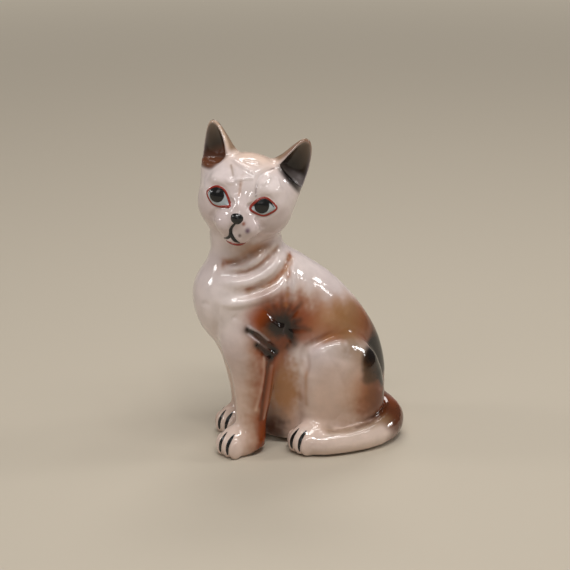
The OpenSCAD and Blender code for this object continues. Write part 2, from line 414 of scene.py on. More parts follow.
def foreleg_form(side):
    """The loft of one foreleg. The right one stands a little further back at the foot."""
    shift = FAR_LEG_BACK if side < 0 else 0.0
    return loft([(z, side * x, y + shift * (1 - z / SHOULDER_HIGH), w, l) for z, x, y, w, l in FORELEG])


def paw_forms(centre, radii, reach):
    """A paw turned a little towards the cat's left, and its four toes."""
    turn = turn_matrix(PAW_TURN)
    home = np.array(centre, float)
    pad = egg((0, 0, 0), radii).placed(turn, home)
    toes = [egg((x, reach + 0.45 * abs(x), -1.2), (half, 3.4, 4.4)).placed(turn, home) for x, half in TOES]
    return pad, toes


def forepaw_place(side):
    """Where a forepaw stands."""
    return (side * FOREPAW[0], FOREPAW[1] + (FAR_LEG_BACK if side < 0 else 0.0), FOREPAW[2])


def hind_paw_place(side):
    """Where a hind paw stands."""
    return (side * HIND_PAW[0], HIND_PAW[1], HIND_PAW[2])


def add_paw(clay, centre, radii, reach):
    """Models one paw and presses the furrows between its toes."""
    pad, toes = paw_forms(centre, radii, reach)
    clay.add(pad, 2.5)
    for toe in toes:
        clay.add(toe, 1.0)
    for path in toe_paths(centre, radii, reach):
        clay.press(path, 0.8, 0.45, 0.35)


def toe_paths(centre, radii, reach):
    """The lines between the toes, from the top of the paw down its front."""
    turn = turn_matrix(PAW_TURN)
    paths = []
    for x in TOE_GAPS:
        front = reach + 0.45 * abs(x)
        local = [(0.86 * x, front + 1.4, radii[2] * 0.72), (0.97 * x, front - 1.4, radii[2] * 0.36),
                 (1.03 * x, front - 2.6, -0.6), (1.05 * x, front - 2.7, -3.6)]
        paths.append([turn @ np.array(p) + np.array(centre) for p in local])
    return paths


def both(path):
    """A path and its mirror image on the other side of the cat."""
    mirror = [(-x, y, z) for x, y, z in path]
    return path, mirror


def model_body(clay):
    """Builds the trunk, thighs, legs, paws and tail, and works in the folds and tendons."""
    clay.add(loft(TRUNK))
    for side in (1, -1):
        thigh = limb(THIGH, 0.9, closed=True)
        thigh = thigh if side > 0 else thigh.mirrored()
        breast = egg((side * 7.5, -27, 70), (9.5, 12, 14))
        shoulder = egg((side * 9.5, -7, 73), (8.6, 12, 13))
        clay.add(breast, 6)
        clay.add(shoulder, 6)
        clay.add(thigh, 1.6)
        clay.add(egg((side * 14, 20, 27), (11.4, 13, 21)), 3)
        clay.add(foreleg_form(side), 3.0)
    clay.add(limb(TAIL), 1.4)
    for side in (1, -1):
        add_paw(clay, forepaw_place(side), FOREPAW_R, FOREPAW_REACH)
        add_paw(clay, hind_paw_place(side), HIND_PAW_R, HIND_PAW_REACH)
    work_folds(clay)


def work_folds(clay):
    """Presses the folds of the neck, the creases round the armpit and the tendons of the legs."""
    lines = [
        # rolls of the neck: furrows, then the rolls between them
        ([(10.6, -8.5, 99), (13.9, -15.6, 95.6), (14, -21.1, 92.6), (12.6, -26.1, 89.6), (9.5, -31, 87.4)],
         1.7, 1.9),
        ([(9.9, -1.3, 89), (15.3, -6, 84.2), (16.6, -9.7, 81.3), (17, -13.1, 79.5), (16.5, -19.8, 76.9),
          (14.9, -26.1, 75.2), (13, -31, 74.5)], 2.1, 3.2),
        ([(8.1, -0.6, 89.8), (13.8, -3.2, 85.7), (16.2, -4.5, 80.6), (17.6, -5.5, 74.8), (18.5, -6.7, 67.9)],
         1.3, 2.2),
        ([(9.2, -33, 82.5), (12.9, -26, 83.4), (14.8, -18.5, 86), (14.6, -12.5, 90), (11.5, -6, 95)],
         1.5, 2.2),
        ([(9, -33.5, 79), (13, -27.5, 79.3), (15.9, -18.7, 81.8), (15.6, -11.5, 86), (12.5, -6, 91)],
         1.9, -2.4),
        ([(9.5, -31, 85.2), (12.5, -25.6, 86.4), (14.2, -18.4, 89.5), (13.6, -12, 93.5)], 1.6, -1.4),
        ([(10.5, -34, 71.5), (14.9, -27, 71.8), (17, -19.4, 72.8), (17.9, -12, 75.2), (17.2, -7.6, 79)],
         1.8, -1.9),
        ([(12.7, -1.5, 87.2), (15.2, -2.6, 82.5), (17, -3.4, 77), (18, -4.4, 71)], 1.3, -1.4),
        # thigh: the crease over its top and down its front
        ([(19.3, 3.6, 33), (19.2, 2.8, 40), (18.8, 2.5, 46.4), (19, 5.3, 48.9), (18.8, 8.7, 50.3),
          (18.2, 14.6, 51), (17.4, 20.2, 50), (16.5, 27.3, 47.4)], 1.4, 2.2),
        ([(20.5, 5.4, 42), (21, 8, 46.2), (21.4, 13, 48), (21.2, 19, 47.4), (20.5, 25, 44.5)], 2.2, -0.9),
        ([(21.5, 5.8, 34), (21.5, 5.6, 26), (21, 5.2, 18)], 2.2, -0.5),
        ([(15.7, 44, 14.6), (25.2, 32.1, 12.2), (28.9, 22.8, 11.1), (28.8, 15.6, 10.7), (25.5, 11.2, 11.2),
          (23.2, 6, 13.7)], 1.1, 0.9),
    ]
    for path, width, depth in lines:
        for line in both(path):
            if line is path or path[0][0] < 12 or path[0][2] > 20:
                clay.press(line, width, depth)
    for tip in STAR:
        middle = tuple(heart + 0.45 * (end - heart) for heart, end in zip(ARMPIT, tip))
        for line in both([ARMPIT, middle, tip]):
            clay.press(line, 1.1, 1.5, 0.4)
    for side in (1, -1):
        for path, width, depth, *ends in FORELEG_LINES:
            clay.press(on_foreleg(side, path), width, depth, *ends)


def on_foreleg(side, path):
    """A path of the left foreleg, carried to either foreleg."""
    back = FAR_LEG_BACK if side < 0 else 0.0
    return [(side * x, y + back * (1 - z / SHOULDER_HIGH), z) for x, y, z in path]


def head_form(form):
    """A form of the head, carried to where the head sits."""
    return form.placed(HEAD_AXES, HEAD_HOME)


def head_points(points):
    """Points of the head in the cat's own measure."""
    return np.array(points, float) @ HEAD_AXES.T + HEAD_HOME


def model_head(clay):
    """Builds the skull, cheeks, muzzle and ears, and works in the face."""
    clay.add(head_form(egg((0, 0, 1), (20.5, 19, 18.6))), 4)
    for side in (1, -1):
        clay.add(head_form(egg((side * 10.2, -3, -4.5), (8.6, 11, 9))), 5)
        clay.add(head_form(egg((side * 10.6, -9.6, 1.2), (6.6, 7.0, 6.0))), 2.5)
        clay.add(head_form(egg((side * 8.6, -11.4, 7.4), (6.2, 5.4, 3.0))), 3)
    clay.add(head_form(egg((0, -15, -4.5), (5.5, 7.2, 6.5))), 4)
    clay.add(head_form(egg((0.2, -17.6, -6.4), (3.6, 4.4, 3.4))), 2)
    clay.add(head_form(egg((0.3, -14.6, -14.3), (5.6, 5, 4.4))), 3)
    for side in (1, -1):
        clay.add(head_form(egg((side * 4.3, -15.3, -9.4), (5.4, 5.8, 4.9))), 2.8)
    for side in (1, -1):
        clay.add(head_form(egg((side * 13.0, 2.4, 15.0), (4.4, 3.4, 5.2))), 4)
        add_ear(clay, side)
    work_face(clay)


# The ear's turn in degrees, its half width and half depth at the foot, and how low its hollow reaches
EAR_TURN = 36.0
EAR_HALF = 8.6
EAR_DEEP = 6.4
EAR_FLOOR = -3.4


def ear_axes(side):
    """The ear's own axes: x across its opening, y out of its back, z to its tip; and its foot."""
    foot, tip = np.array([14.6, 1.5, 12.0]), np.array([21.6, 2.5, 29.5])
    tall = np.linalg.norm(tip - foot)
    up = (tip - foot) / tall
    open_way = np.array([math.sin(math.radians(EAR_TURN)), -math.cos(math.radians(EAR_TURN)), 0.0])
    open_way -= open_way @ up * up
    open_way /= np.linalg.norm(open_way)
    across = np.cross(-open_way, up)
    axes = np.stack([across, -open_way, up], 1)
    if side < 0:
        axes = np.diag([-1, 1, 1]) @ axes @ np.diag([-1, 1, 1])
        foot = foot * np.array([-1, 1, 1])
    return axes, foot, tall


def ear_shell(tall, thin=0.0, floor=None):
    """A pointed cup: wide at the foot, drawn to the tip.

    Thin makes the smaller form that hollows it, and floor is the height at which that form rounds off below.
    """
    outer = thin == 0

    def measure(x, y, z):
        rise = np.clip(z / tall, -0.4, 1.0)
        half = (EAR_HALF - thin) * np.clip(1 - rise, 0.0, 1.6) ** 0.52 + 0.5 * outer
        deep = (EAR_DEEP - thin) * np.clip(1 - rise, 0.0, 1.6) ** 0.75 + 0.4 * outer
        deep = deep * (1 + 0.55 * np.clip(1 - rise, 0, 1) * (y > 0) * outer)
        bow = 1.3 * np.sin(np.pi * np.clip(rise, 0, 1))
        px = (x - bow * 0.4) / np.maximum(half, 0.2)
        py = (y - 0.2 * tall * rise * rise * 0.3) / np.maximum(deep, 0.2)
        reach = np.sqrt(px * px + py * py)
        gap = (reach - 1) * np.minimum(half, deep) * 0.9
        if floor is not None:
            low = np.clip((z + 0.25 * x - floor) / 3, 0.02, 1) ** 0.5
            gap = np.maximum((reach - low) * np.minimum(half, deep) * 0.9, (floor - z - 0.25 * x) * 0.8)
        return np.maximum(gap, (z - tall) * 0.8).astype(np.float32)

    return Form((-12, -9, -6), (12, 13, tall + 1), measure)


def add_ear(clay, side):
    """Builds an ear as a cup that opens forwards and outwards."""
    axes, foot, tall = ear_axes(side)
    clay.add(head_form(ear_shell(tall).placed(axes, foot)), 1.6)
    hollow = ear_shell(tall - 1.6, 1.35, EAR_FLOOR)
    lifted = foot + axes @ np.array([0, -1.9, 2.4])
    clay.cut(head_form(hollow.placed(axes, lifted)), 0.5)


def work_face(clay):
    """Presses the brows, the eye sockets, the muzzle and the creases of the face."""
    lines = [
        ([(-7.9, -11, 14.3), (-5.7, -15.1, 10.9), (-3.9, -17.4, 7.3)], 1.0, 0.6),
        ([(-2, -17.2, 8.6), (-1.7, -18.6, 3.6)], 1.0, 0.5),
        ([(10.6, -5.2, 16), (7.9, -9.7, 15.2), (6, -12.8, 13.5), (5.1, -15.2, 11), (5.2, -17.2, 7),
          (5.7, -17.7, 4.6)], 0.8, 1.3),
        ([(-9, -6.3, 16.5), (-4, -11.6, 15.2), (0.9, -13.6, 13.9), (4.9, -14.7, 11.8)], 0.9, -1.0),
        ([(-3.9, -9.1, 16.3), (0.4, -9.6, 16.6), (5, -8.2, 16.9)], 0.9, -0.9),
        ([(-8.9, -15, 8.4), (-5.9, -16.6, 7.7), (-3.6, -16.3, 9.2), (1.5, -15.4, 10.9), (4.2, -15.2, 10.7)],
         0.8, -0.9),
        ([(7.3, -15.7, 8.2), (8.3, -13.7, 10.9), (9.3, -10.5, 13.4)], 1.0, -1.0),
        ([(12.9, -11.5, 7.6), (12.6, -10.5, 10.6), (11.6, -8.5, 13)], 1.2, -0.5),
        ([(-1.7, -18.6, 4.6), (-0.9, -19.6, 0.5), (0.2, -21.8, -2.4)], 1.3, -0.6),
        ([(-7.6, -17, -3.5), (-9.7, -15.4, -5.1), (-11.3, -11.9, -9.5)], 1.3, 0.7),
        ([(6.4, -17.4, -3.6), (8.4, -16, -6), (10.2, -12.6, -9.3)], 1.3, 0.8),
        ([(-2.9, -17.8, 1.6), (-4.2, -17.8, -2.2)], 1.6, 0.8),
        ([(3.2, -17.8, 1.4), (4.4, -17.8, -2.0)], 1.6, 0.8),
    ]
    for path, width, depth in lines:
        clay.press(head_points(path), width, depth)
    for outline in EYE_OUTLINES.values():
        loop = face_loop(clay, outline, 1.12)
        clay.press(loop, 0.9, 0.45, 0.0)
    for path, width, depth in (
        ([(-0.4, -21.5, -8.0), (-1.5, -20.5, -11.3), (-1.5, -18.8, -13.6)], 0.9, 0.7),
        ([(-1.5, -18.8, -13.4), (-3.2, -17.2, -15.4), (-4.6, -15.6, -16.0)], 0.8, 0.6),
        ([(-1.5, -18.8, -13.4), (0.5, -18.7, -15.1), (3, -16.6, -16.4), (6, -14.6, -15.4)], 0.8, 0.7),
    ):
        clay.press(clay.settle(head_points(path)), width, depth)


# ---------------------------------------------------------------- the face's outlines, x and z of the head

EYE_OUTLINES = {
    "right": [(-15.3, 0.9), (-14.2, 3.3), (-11.4, 4.9), (-8.4, 4.5), (-6.2, 2.2), (-4.2, -1.5), (-6.4, -2.4),
              (-9.2, -3.3), (-12.4, -2.6)],
    "left": [(4.4, -0.8), (6.4, 2.6), (9.2, 4.4), (12.2, 3.5), (15.0, 0.9), (12.8, -1.7), (10.2, -3.2),
             (7.2, -2.7)],
}
PUPILS = {"right": ((-10.6, 1.3), (3.6, 3.4)), "left": ((9.0, 0.9), (3.5, 3.6))}
# The black lines over the eyes. They are laid wide, so that they also paint the shadow of the upper lids
# across the tops of the whites
LASH_LINES_AND_SHADOWS = {"right": [(-14.6, 1.4), (-13.4, 3.4), (-11.0, 4.4), (-8.2, 4.0), (-6.2, 1.8)],
          "left": [(5.3, 0.1), (7.0, 2.6), (9.3, 3.8), (12.0, 3.0), (14.0, 1.2)]}
LIP_OUTLINE = [(-3.6, -16.9), (-1.4, -16.8), (0.8, -17.0), (3.2, -16.8), (5.4, -16.4), (3.4, -17.8),
               (0.9, -18.3), (-1.6, -17.9)]
NOSE_OUTLINE = [(-2.7, -5.2), (-1.9, -3.9), (0.1, -3.4), (2.0, -3.9), (2.8, -5.3), (2.3, -6.9), (0.9, -8.1),
                (-0.9, -8.0), (-2.3, -6.9)]


def face_loop(clay, outline, scale=1.0, per_span=6):
    """A closed outline of the face, laid on the clay. It is given by x and z and seen from the front."""
    loop = smooth_path(outline, per_span, closed=True)
    middle = loop.mean(0)
    loop = middle + (loop - middle) * scale
    return face_drop(clay, np.vstack([loop, loop[:1]]))


def face_drop(clay, flat):
    """Lays x and z points of the face on the clay."""
    start = head_points(np.stack([flat[:, 0], np.full(len(flat), -27.0), flat[:, 1]], 1))
    return clay.drop(start, FACE_WAY)


# ---------------------------------------------------------------- meshes

def mesh_object(name, points, faces):
    """An object from arrays of points and of faces that all have as many corners."""
    mesh = bpy.data.meshes.new(name)
    corners = faces.shape[1]
    mesh.vertices.add(len(points))
    mesh.vertices.foreach_set("co", np.asarray(points, np.float32).ravel())
    mesh.loops.add(faces.size)
    mesh.loops.foreach_set("vertex_index", np.asarray(faces, np.int32).ravel())
    mesh.polygons.add(len(faces))
    mesh.polygons.foreach_set("loop_start", np.arange(0, faces.size, corners, dtype=np.int32))
    mesh.polygons.foreach_set("use_smooth", np.ones(len(faces), bool))
    mesh.update(calc_edges=True)
    thing = bpy.data.objects.new(name, mesh)
    bpy.context.collection.objects.link(thing)
    return thing


def box_tool(low, high, turn=None, home=(0, 0, 0)):
    """A box to cut with."""
    corners = np.array([[x, y, z] for x in (low[0], high[0])
                        for y in (low[1], high[1]) for z in (low[2], high[2])], float)
    if turn is not None:
        corners = corners @ turn.T
    corners += np.array(home)
    faces = np.array([(0, 1, 3, 2), (4, 6, 7, 5), (0, 4, 5, 1), (2, 3, 7, 6), (0, 2, 6, 4), (1, 5, 7, 3)])
    return mesh_object("tool", corners, faces)


def form_tool(forms, pitch=0.7, blend=1.0):
    """A closed mesh round some forms, to cut with."""
    low = np.min([form.low for form in forms], 0) - 3
    high = np.max([form.high for form in forms], 0) + 3
    clay = Clay(Block(low, high, pitch))
    for form in forms:
        clay.add(form, blend)
    return clay.blocks[0].surface("tool")


def cut_copy(solid, tool, operation, name):
    """A new object: the solid with the tool's solid kept in or taken out."""
    modifier = solid.modifiers.new("cut", "BOOLEAN")
    modifier.solver = "MANIFOLD"
    modifier.operation = operation
    modifier.object = tool
    depsgraph = bpy.context.evaluated_depsgraph_get()
    mesh = bpy.data.meshes.new_from_object(solid.evaluated_get(depsgraph))
    solid.modifiers.remove(modifier)
    if not mesh.polygons:
        raise RuntimeError("nothing is left of " + name)
    thing = bpy.data.objects.new(name, mesh)
    bpy.context.collection.objects.link(thing)
    return thing


def join_things(name, *things):
    """One object from several."""
    shape = bmesh.new()
    for thing in things:
        shape.from_mesh(thing.data)
    mesh = bpy.data.meshes.new(name)
    shape.to_mesh(mesh)
    shape.free()
    mesh.materials.append(things[0].data.materials[0])
    mesh.polygons.foreach_set("material_index", np.zeros(len(mesh.polygons), np.int32))
    mesh.polygons.foreach_set("use_smooth", np.ones(len(mesh.polygons), bool))
    discard(*things)
    thing = bpy.data.objects.new(name, mesh)
    bpy.context.collection.objects.link(thing)
    return thing


def discard(*things):
    """Removes helper objects."""
    for thing in things:
        bpy.data.objects.remove(thing)


def points_of(thing):
    """A mesh's points as an array."""
    points = np.empty(3 * len(thing.data.vertices), np.float32)
    thing.data.vertices.foreach_get("co", points)
    return points.reshape(-1, 3).astype(float)


def to_frame(thing):
    """Carries a mesh from the potter's millimetres to the frame's metres."""
    thing.data.transform(Matrix.Translation(Vector(HOME)) @ Matrix.Scale(UNIT, 4))


# ---------------------------------------------------------------- colour

def fade(values):
    """A smooth step from 0 to 1."""
    values = np.clip(values, 0, 1)
    return values * values * (3 - 2 * values)


def puff(points, centre, radii, soft=0.5):
    """The cover of one puff of the airbrush: full in the middle, fading over the soft share of its radii."""
    reach = np.sqrt((((points - np.array(centre)) / np.array(radii)) ** 2).sum(1))
    return fade((1 - reach) / soft)


def streak(points, path, width):
    """The cover of one stroke of colour along a path."""
    path = smooth_path(path, 3)
    cover = np.zeros(len(points))
    near = ((points > path.min(0) - 2.5 * width) & (points < path.max(0) + 2.5 * width)).all(1)
    if near.any():
        gap, _ = nearest_on(path, points[near])
        cover[near] = np.exp(-(gap / width) ** 2)
    return cover


def grain(points, size, seed):
    """Smooth, repeatable unevenness between -1 and 1."""
    rng = np.random.default_rng(seed)
    total = np.zeros(len(points))
    for _ in range(5):
        way = rng.normal(size=3)
        way /= np.linalg.norm(way)
        across = rng.normal(size=3)
        phase, other = rng.uniform(0, 2 * np.pi, 2)
        sway = 1.7 * np.sin(points @ across * (1.4 / size) + other)
        total += np.sin(points @ way * (2 * np.pi / size) + phase + sway)
    return total / 3.2


def lay(colours, cover, colour):
    """Covers the colours under it by as much as the cover says."""
    cover = np.clip(cover, 0, 1)[:, None]
    return colours * (1 - cover) + np.array(colour) * cover


def wash(colours, points, kit, washes):
    """Lays washes in turn. Each is a cover and a colour's name, then the shape of its puff or streak."""
    for cover, name, *shape in washes:
        spread = puff if len(shape) == 3 else streak
        colours = lay(colours, cover * spread(points, *shape), getattr(kit, name))
    return colours


# Puffs give a centre, radii and a soft share; streaks give a path and a width
SHOULDER_WASHES = [
    (0.75, "tan", (17, -4, 63), (14, 30, 19), 0.7),
    (1.0, "brown", (18.5, -10, 62.5), (12, 21, 17), 0.6),
    (0.85, "brown", (18.5, 5, 59), (10, 14, 15), 0.9),
    (0.8, "dark", (18.8, -10, 57), (11, 14.5, 15), 0.9),
    (1.7, "black", (18.5, -10, 55.5), (10, 13, 14), 0.85),
]
# Black along the creases that run out from the armpit: partly the black patch's own colour, partly painted
# shade in the creases
STAR_CREASE_BLACK_AND_SHADE = [(0.5, "black", [ARMPIT, tip], 1.3) for tip in STAR]
LEG_WASHES = [
    (0.7, "tan", [(21, -20, 50), (20.5, -19, 41), (19.5, -19.4, 30), (18.8, -19.6, 20), (18, -19.5, 5)], 6.8),
    (1.35, "brown", [(20.5, -15.6, 50), (20, -14.6, 41), (19, -15.0, 30), (18.3, -15.6, 20), (17.8, -16, 5)],
     5.4),
    (0.9, "brown", (15, -9, 44), (9, 9, 15), 0.8),
    (0.85, "dark", (20, -14.5, 46), (6, 6, 8), 0.9),
    (0.95, "tan", (13, -5, 28), (10, 12, 30), 0.8),
    (0.95, "dark", (9, -9.5, 6), (10, 10, 17), 0.8),
]
LEG_AND_SLIT_STREAKS_WITH_LIGHT_AND_SHADE = [
    # Painted shade in the groove down the back of the foreleg, then painted light along the two ridges beside
    # it
    (0.8, "dark", [(19.6, -14.2, 48), (19.2, -15.5, 38), (18.6, -16.7, 29), (18.2, -18.2, 17)], 0.9),
    (0.5, "peach", [(20.7, -17.3, 47), (19.9, -17.5, 38.6), (19.3, -18.7, 30.5), (18.8, -20.5, 22)], 0.7),
    (0.5, "peach", [(18.4, -13.3, 42), (17.9, -14.5, 30), (17.5, -16.3, 17)], 0.7),
    (1.2, "black", SLIT, 1.9),
    (1.1, "black", [(20.9, -20.5, 53.4), (20.5, -17, 49.8), (19.2, -13.2, 46.2)], 1.8),
    # Painted highlights: pale lines along the raised lips of the slit
    (0.75, "lustre", [(x, y, z + 1.9) for x, y, z in SLIT[:3]], 0.6),
    (0.75, "lustre", [(x, y, z - 1.9) for x, y, z in SLIT[:3]], 0.6),
]
BACK_AND_RUMP_WASHES = [
    (0.85, "tan", (15.6, 18, 57), (11, 18, 16), 0.8),
    (0.75, "brown", (15, 20, 53), (11, 18, 9), 0.8),
    (0.85, "tan", (11, 27, 57), (14, 23, 17), 0.75),
    (0.85, "brown", (8, 36, 51), (20, 16, 19), 0.8),
    (0.9, "dark", (10, 43, 44), (22, 13, 20), 0.8),
    (0.8, "olive", (20, 23, 46.5), (10, 15, 8), 0.8),
    (0.6, "tan", (24, 27, 25), (12, 13, 21), 0.9),
    (0.9, "brown", (15, 37, 23), (22, 15.5, 21), 0.7),
    (0.45, "olive", (12, 27, 56), (14, 19, 15), 0.8),
    (0.95, "dark", (13, 41.5, 20), (22, 14.5, 16), 0.75),
    (0.8, "brown", (25, 31, 24), (10, 10.5, 19), 0.9),
    (0.7, "dark", (25, 33.5, 23), (10, 9, 17), 0.9),
    (0.7, "olive", (23, 27, 41), (8, 10, 8), 0.9),
    (1.0, "black", (10, 43, 36.5), (26, 17, 12), 0.25),
    (1.0, "black", (22.5, 33.5, 37.5), (9, 9.2, 10.5), 0.4),
]
# Painted shade along the crease over the thigh's top and down its front
THIGH_CREASE_SHADE = [
    (0.6, "tan", [(19.3, 3.6, 22), (19.2, 2.8, 40), (18.8, 2.5, 46.4), (18.8, 8.7, 50.3), (18.2, 14.6, 51)],
     1.2),
]
FLANK_WASHES_AND_NECK_SHADE = [
    (0.32, "tan", (24, 17, 27), (14, 22, 26), 0.6),
    (0.2, "tan", (17, -29, 42), (12, 12, 26), 0.8),
    # Painted shade under the chin, between it and the first roll of the neck
    (0.6, "tan", (13, -19, 95.5), (9, 15, 6.5), 0.9),
]
# Folds of the neck: path, width and cover. The tan and brown laid along their furrows are partly the
# airbrush's brown, partly painted shade in the folds.
NECK_FOLD_BROWN_AND_SHADE = [
    ([(9, -6, 101), (13.6, -14.1, 96.4), (14, -21.1, 92.9), (12.6, -26.1, 90), (9, -31.5, 88)], 2.3, 0.7),
    ([(9.9, -1.3, 89), (15.3, -6, 84.2), (17, -13.1, 79.5), (16.5, -19.8, 77.8), (14, -27, 78)], 1.8, 0.8),
    ([(8.1, -0.6, 89.8), (13.8, -3.2, 85.7), (16.2, -4.5, 80.6), (18.5, -6.7, 69)], 1.2, 0.6),
    ([(11.9, -27, 84), (13.8, -20, 86), (13.9, -13, 90), (11, -5, 95)], 1.6, 0.6),
]
TAIL_WASHES = [
    (0.95, "brown", (20, 46, 11), (17, 15, 14), 0.7),
    (0.85, "dark", (22, 45, 10), (15, 14, 14), 0.7),
    (0.7, "olive", [(27, 38, 12.5), (28.5, 30, 12.3), (28.5, 20, 11.5), (27.5, 12, 11)], 3.6),
]
TAIL_STREAKS = [
    (0.75, "dark", [(15.7, 44, 15), (25.2, 32.1, 12.6), (28.2, 24, 11.6)], 1.3),
]


def paint(points, colour):
    """The airbrushed colours of the body under its glaze, with painted light and shade about its creases,
    folds and slit, for points in the potter's millimetres.
    """
    near = points.copy()
    near[:, 0] = np.abs(near[:, 0])
    rough = grain(near, 9, 3)
    fine = grain(near, 3.1, 5)
    shades = np.tile(np.array(colour.white), (len(points), 1))
    shades = lay(shades, 0.35 + 0.3 * grain(points, 26, 11), colour.lustre)
    uneven = near + (rough * 1.2)[:, None] * np.array([0.3, 1, 1]) + (fine * 0.5)[:, None]
    # the lower body is warmer than the chest and back
    shades = lay(shades, 0.5 * fade((50 - near[:, 2]) / 26), colour.peach)
    for place, washes in (
        (uneven, SHOULDER_WASHES), (near, STAR_CREASE_BLACK_AND_SHADE), (uneven, LEG_WASHES), (near, LEG_AND_SLIT_STREAKS_WITH_LIGHT_AND_SHADE),
        (uneven, BACK_AND_RUMP_WASHES), (near, THIGH_CREASE_SHADE), (uneven, FLANK_WASHES_AND_NECK_SHADE),
    ):
        shades = wash(shades, place, colour, washes)
    # Painted shade and brown along the furrows of the neck's folds
    for path, width, cover in NECK_FOLD_BROWN_AND_SHADE:
        shades = lay(shades, cover * streak(uneven, path, width), colour.tan)
        shades = lay(shades, 0.8 * cover * streak(near, path, width * 0.5), colour.brown)
    shades = wash(shades, uneven, colour, TAIL_WASHES)
    shades = wash(shades, near, colour, TAIL_STREAKS)
    return paint_head(points, shades, colour)


CROWN_AND_CHIN_WASHES = [
    (0.75, "peach", (0, -1, 19), (19, 17, 12), 0.8),
    (0.5, "tan", (3, -18, -17.5), (10, 7, 4.5), 0.8),
    (0.22, "tan", (-9, -17, -9), (7, 6, 6), 0.9),
]
# Painted shade: olive darkens the cat's left cheek
CHEEK_SHADE = [
    (0.3, "olive", (13, -6, -3), (12, 15, 16), 0.9),
]
# Creases of the brow, then the specks on the muzzle, then painted shade beside the foot of the nose
FACE_MARKS_AND_NOSE_SHADE = [
    (0.6, "dark", [(10.6, -5.2, 16), (7.9, -9.7, 15.2), (6, -12.8, 13.5), (5.1, -15.2, 11), (5.2, -17.2, 7),
                   (5.7, -17.7, 4.6)], 0.45),
    (0.6, "olive", [(-7.9, -11, 14.3), (-5.7, -15.1, 10.9)], 0.45),
    (0.5, "tan", [(-1.4, -13, 13), (-1.6, -17, 8.8), (-1.2, -18.8, 3.6)], 0.7),
    (0.85, "mauve", (5.3, -20.8, -10.1), (1.7, 2.6, 1.2 * 1.7), 0.9),
    (0.85, "dark", (2.3, -20.4, -13.1), (1.2, 2.6, 1.2 * 1.2), 0.9),
    # Painted shade beside the foot of the nose
    (0.85, "brown", (3.2, -21.4, -7.4), (1.3, 2.6, 1.2 * 1.3), 0.9),
]


def paint_head(points, shades, colour):
    """The airbrushed colours of the head and ears, with painted shade on the left cheek, over the lower face
    and beside the foot of the nose.
    """
    local = (points - HEAD_HOME) @ HEAD_AXES
    high = local[:, 2] > -30
    if not high.any():
        return shades
    uneven = local + (grain(local, 8, 17) * 0.8)[:, None]
    shades = wash(shades, uneven, colour, CROWN_AND_CHIN_WASHES)
    # Painted shade: the mauve cast lies thick over the lower face and darkens it
    shades = lay(shades, 0.9 * fade((5 - local[:, 2]) / 14) * fade((local[:, 2] + 19) / 4), colour.lustre)
    shades = wash(shades, uneven, colour, CHEEK_SHADE)
    shades = wash(shades, local, colour, FACE_MARKS_AND_NOSE_SHADE)
    for side in (1, -1):
        axes, foot, tall = ear_axes(side)
        ear = (local - foot) @ axes
        rise = ear[:, 2] / tall
        on_ear = fade((ear[:, 2] - 3.0) / 3.0) * (np.abs(ear[:, 0]) < 13) * (np.abs(ear[:, 1]) < 11)
        shades = lay(shades, 0.85 * on_ear * fade(0.8 + ear[:, 1] / 3), colour.olive)
        inside = ear_inside(ear, tall)
        shades = lay(shades, inside, colour.ear)
        inner = ear_cup(ear, tall)
        rim = fade(1 - np.abs(inner - 0.55) / 0.6) * fade((rise - 0.2) / 0.3) * on_ear
        shades = lay(shades, 0.6 * rim, colour.rust if side > 0 else colour.peach)
        if side < 0:
            shades = lay(shades, inside * fade((0.5 - rise + 0.01 * ear[:, 0]) / 0.3) * 0.9, colour.rust)
    return shades


def ear_cup(ear, tall):
    """How far each point lies outside the ear's painted hollow."""
    return ear_shell(tall - 1.6, 0.9).measure(ear[:, 0], ear[:, 1] + 1.9, ear[:, 2] - 2.0)


def ear_inside(ear, tall):
    """How far each point lies inside the cup of the ear, from 0 to 1."""
    inner = ear_cup(ear, tall)
    soft = 0.7 + 1.6 * fade((0.3 * tall - ear[:, 2]) / (0.3 * tall))
    foot = fade((ear[:, 2] + 0.25 * ear[:, 0] + 2.2) / 2.2)
    return fade(0.5 - inner / soft) * foot * (ear[:, 1] < 6)


# ---------------------------------------------------------------- the cast members

@functools.cache
def modelled_clay(body_pitch, head_pitch):
    """The whole cat in clay."""
    body = Block((-31, -45, -3), (37, 56, 111), body_pitch)
    head = Block((-20, -43, 92), (30, 13, 152), head_pitch)
    clay = Clay(body, head)
    model_body(clay)
    model_head(clay)
    floor = Form((-40, -60, -10), (40, 60, 0), lambda x, y, z: (z + 0 * x + 0 * y).astype(np.float32))
    for block in clay.blocks:
        spans, here = block.window(floor.low, floor.high + 6)
        if spans:
            block.field[spans] = np.maximum(block.field[spans], -floor.measure(*here))
    return clay


NECK_TILT = 18.0
NECK_RISE = 101.5
EAR_CUT = 20.4


def neck_tool():
    """A box whose flat foot is the seam between the neck and the head."""
    turn = turn_matrix(HEAD_TURN, 0, NECK_TILT)
    return box_tool((-60, -60, 0), (60, 60, 90), turn, (HEAD_HOME[0], HEAD_HOME[1], NECK_RISE))


def ear_tool(side):
    """A box whose flat foot is the seam between an ear and the skull."""
    lean = math.degrees(math.atan2(0.596, 0.803)) * side
    turn = HEAD_AXES @ turn_matrix(0, lean, 0)
    seam = turn @ np.array([0, 0, EAR_CUT])
    return box_tool((-16, -20, 0), (16, 20, 30), turn, HEAD_HOME + seam)


def cavity_tool(wall):
    """The hollow that the slip leaves inside the torso and the head."""
    trunk = [(z, x, y, w - wall, l - wall) for z, x, y, w, l in TRUNK[1:]]
    trunk[0] = (wall, 0, 18, 16 - 1.5 * wall, 28 - 3 * wall)
    trunk[-1] = (108, 0, -18.7, 13.5 - wall, 15.5 - wall)
    skull = head_form(egg((0, 0, -2.5), (18.0 - wall, 18.5 - wall, 15.0 - wall)))
    return form_tool([loft(trunk), skull], 1.2, 2.0)


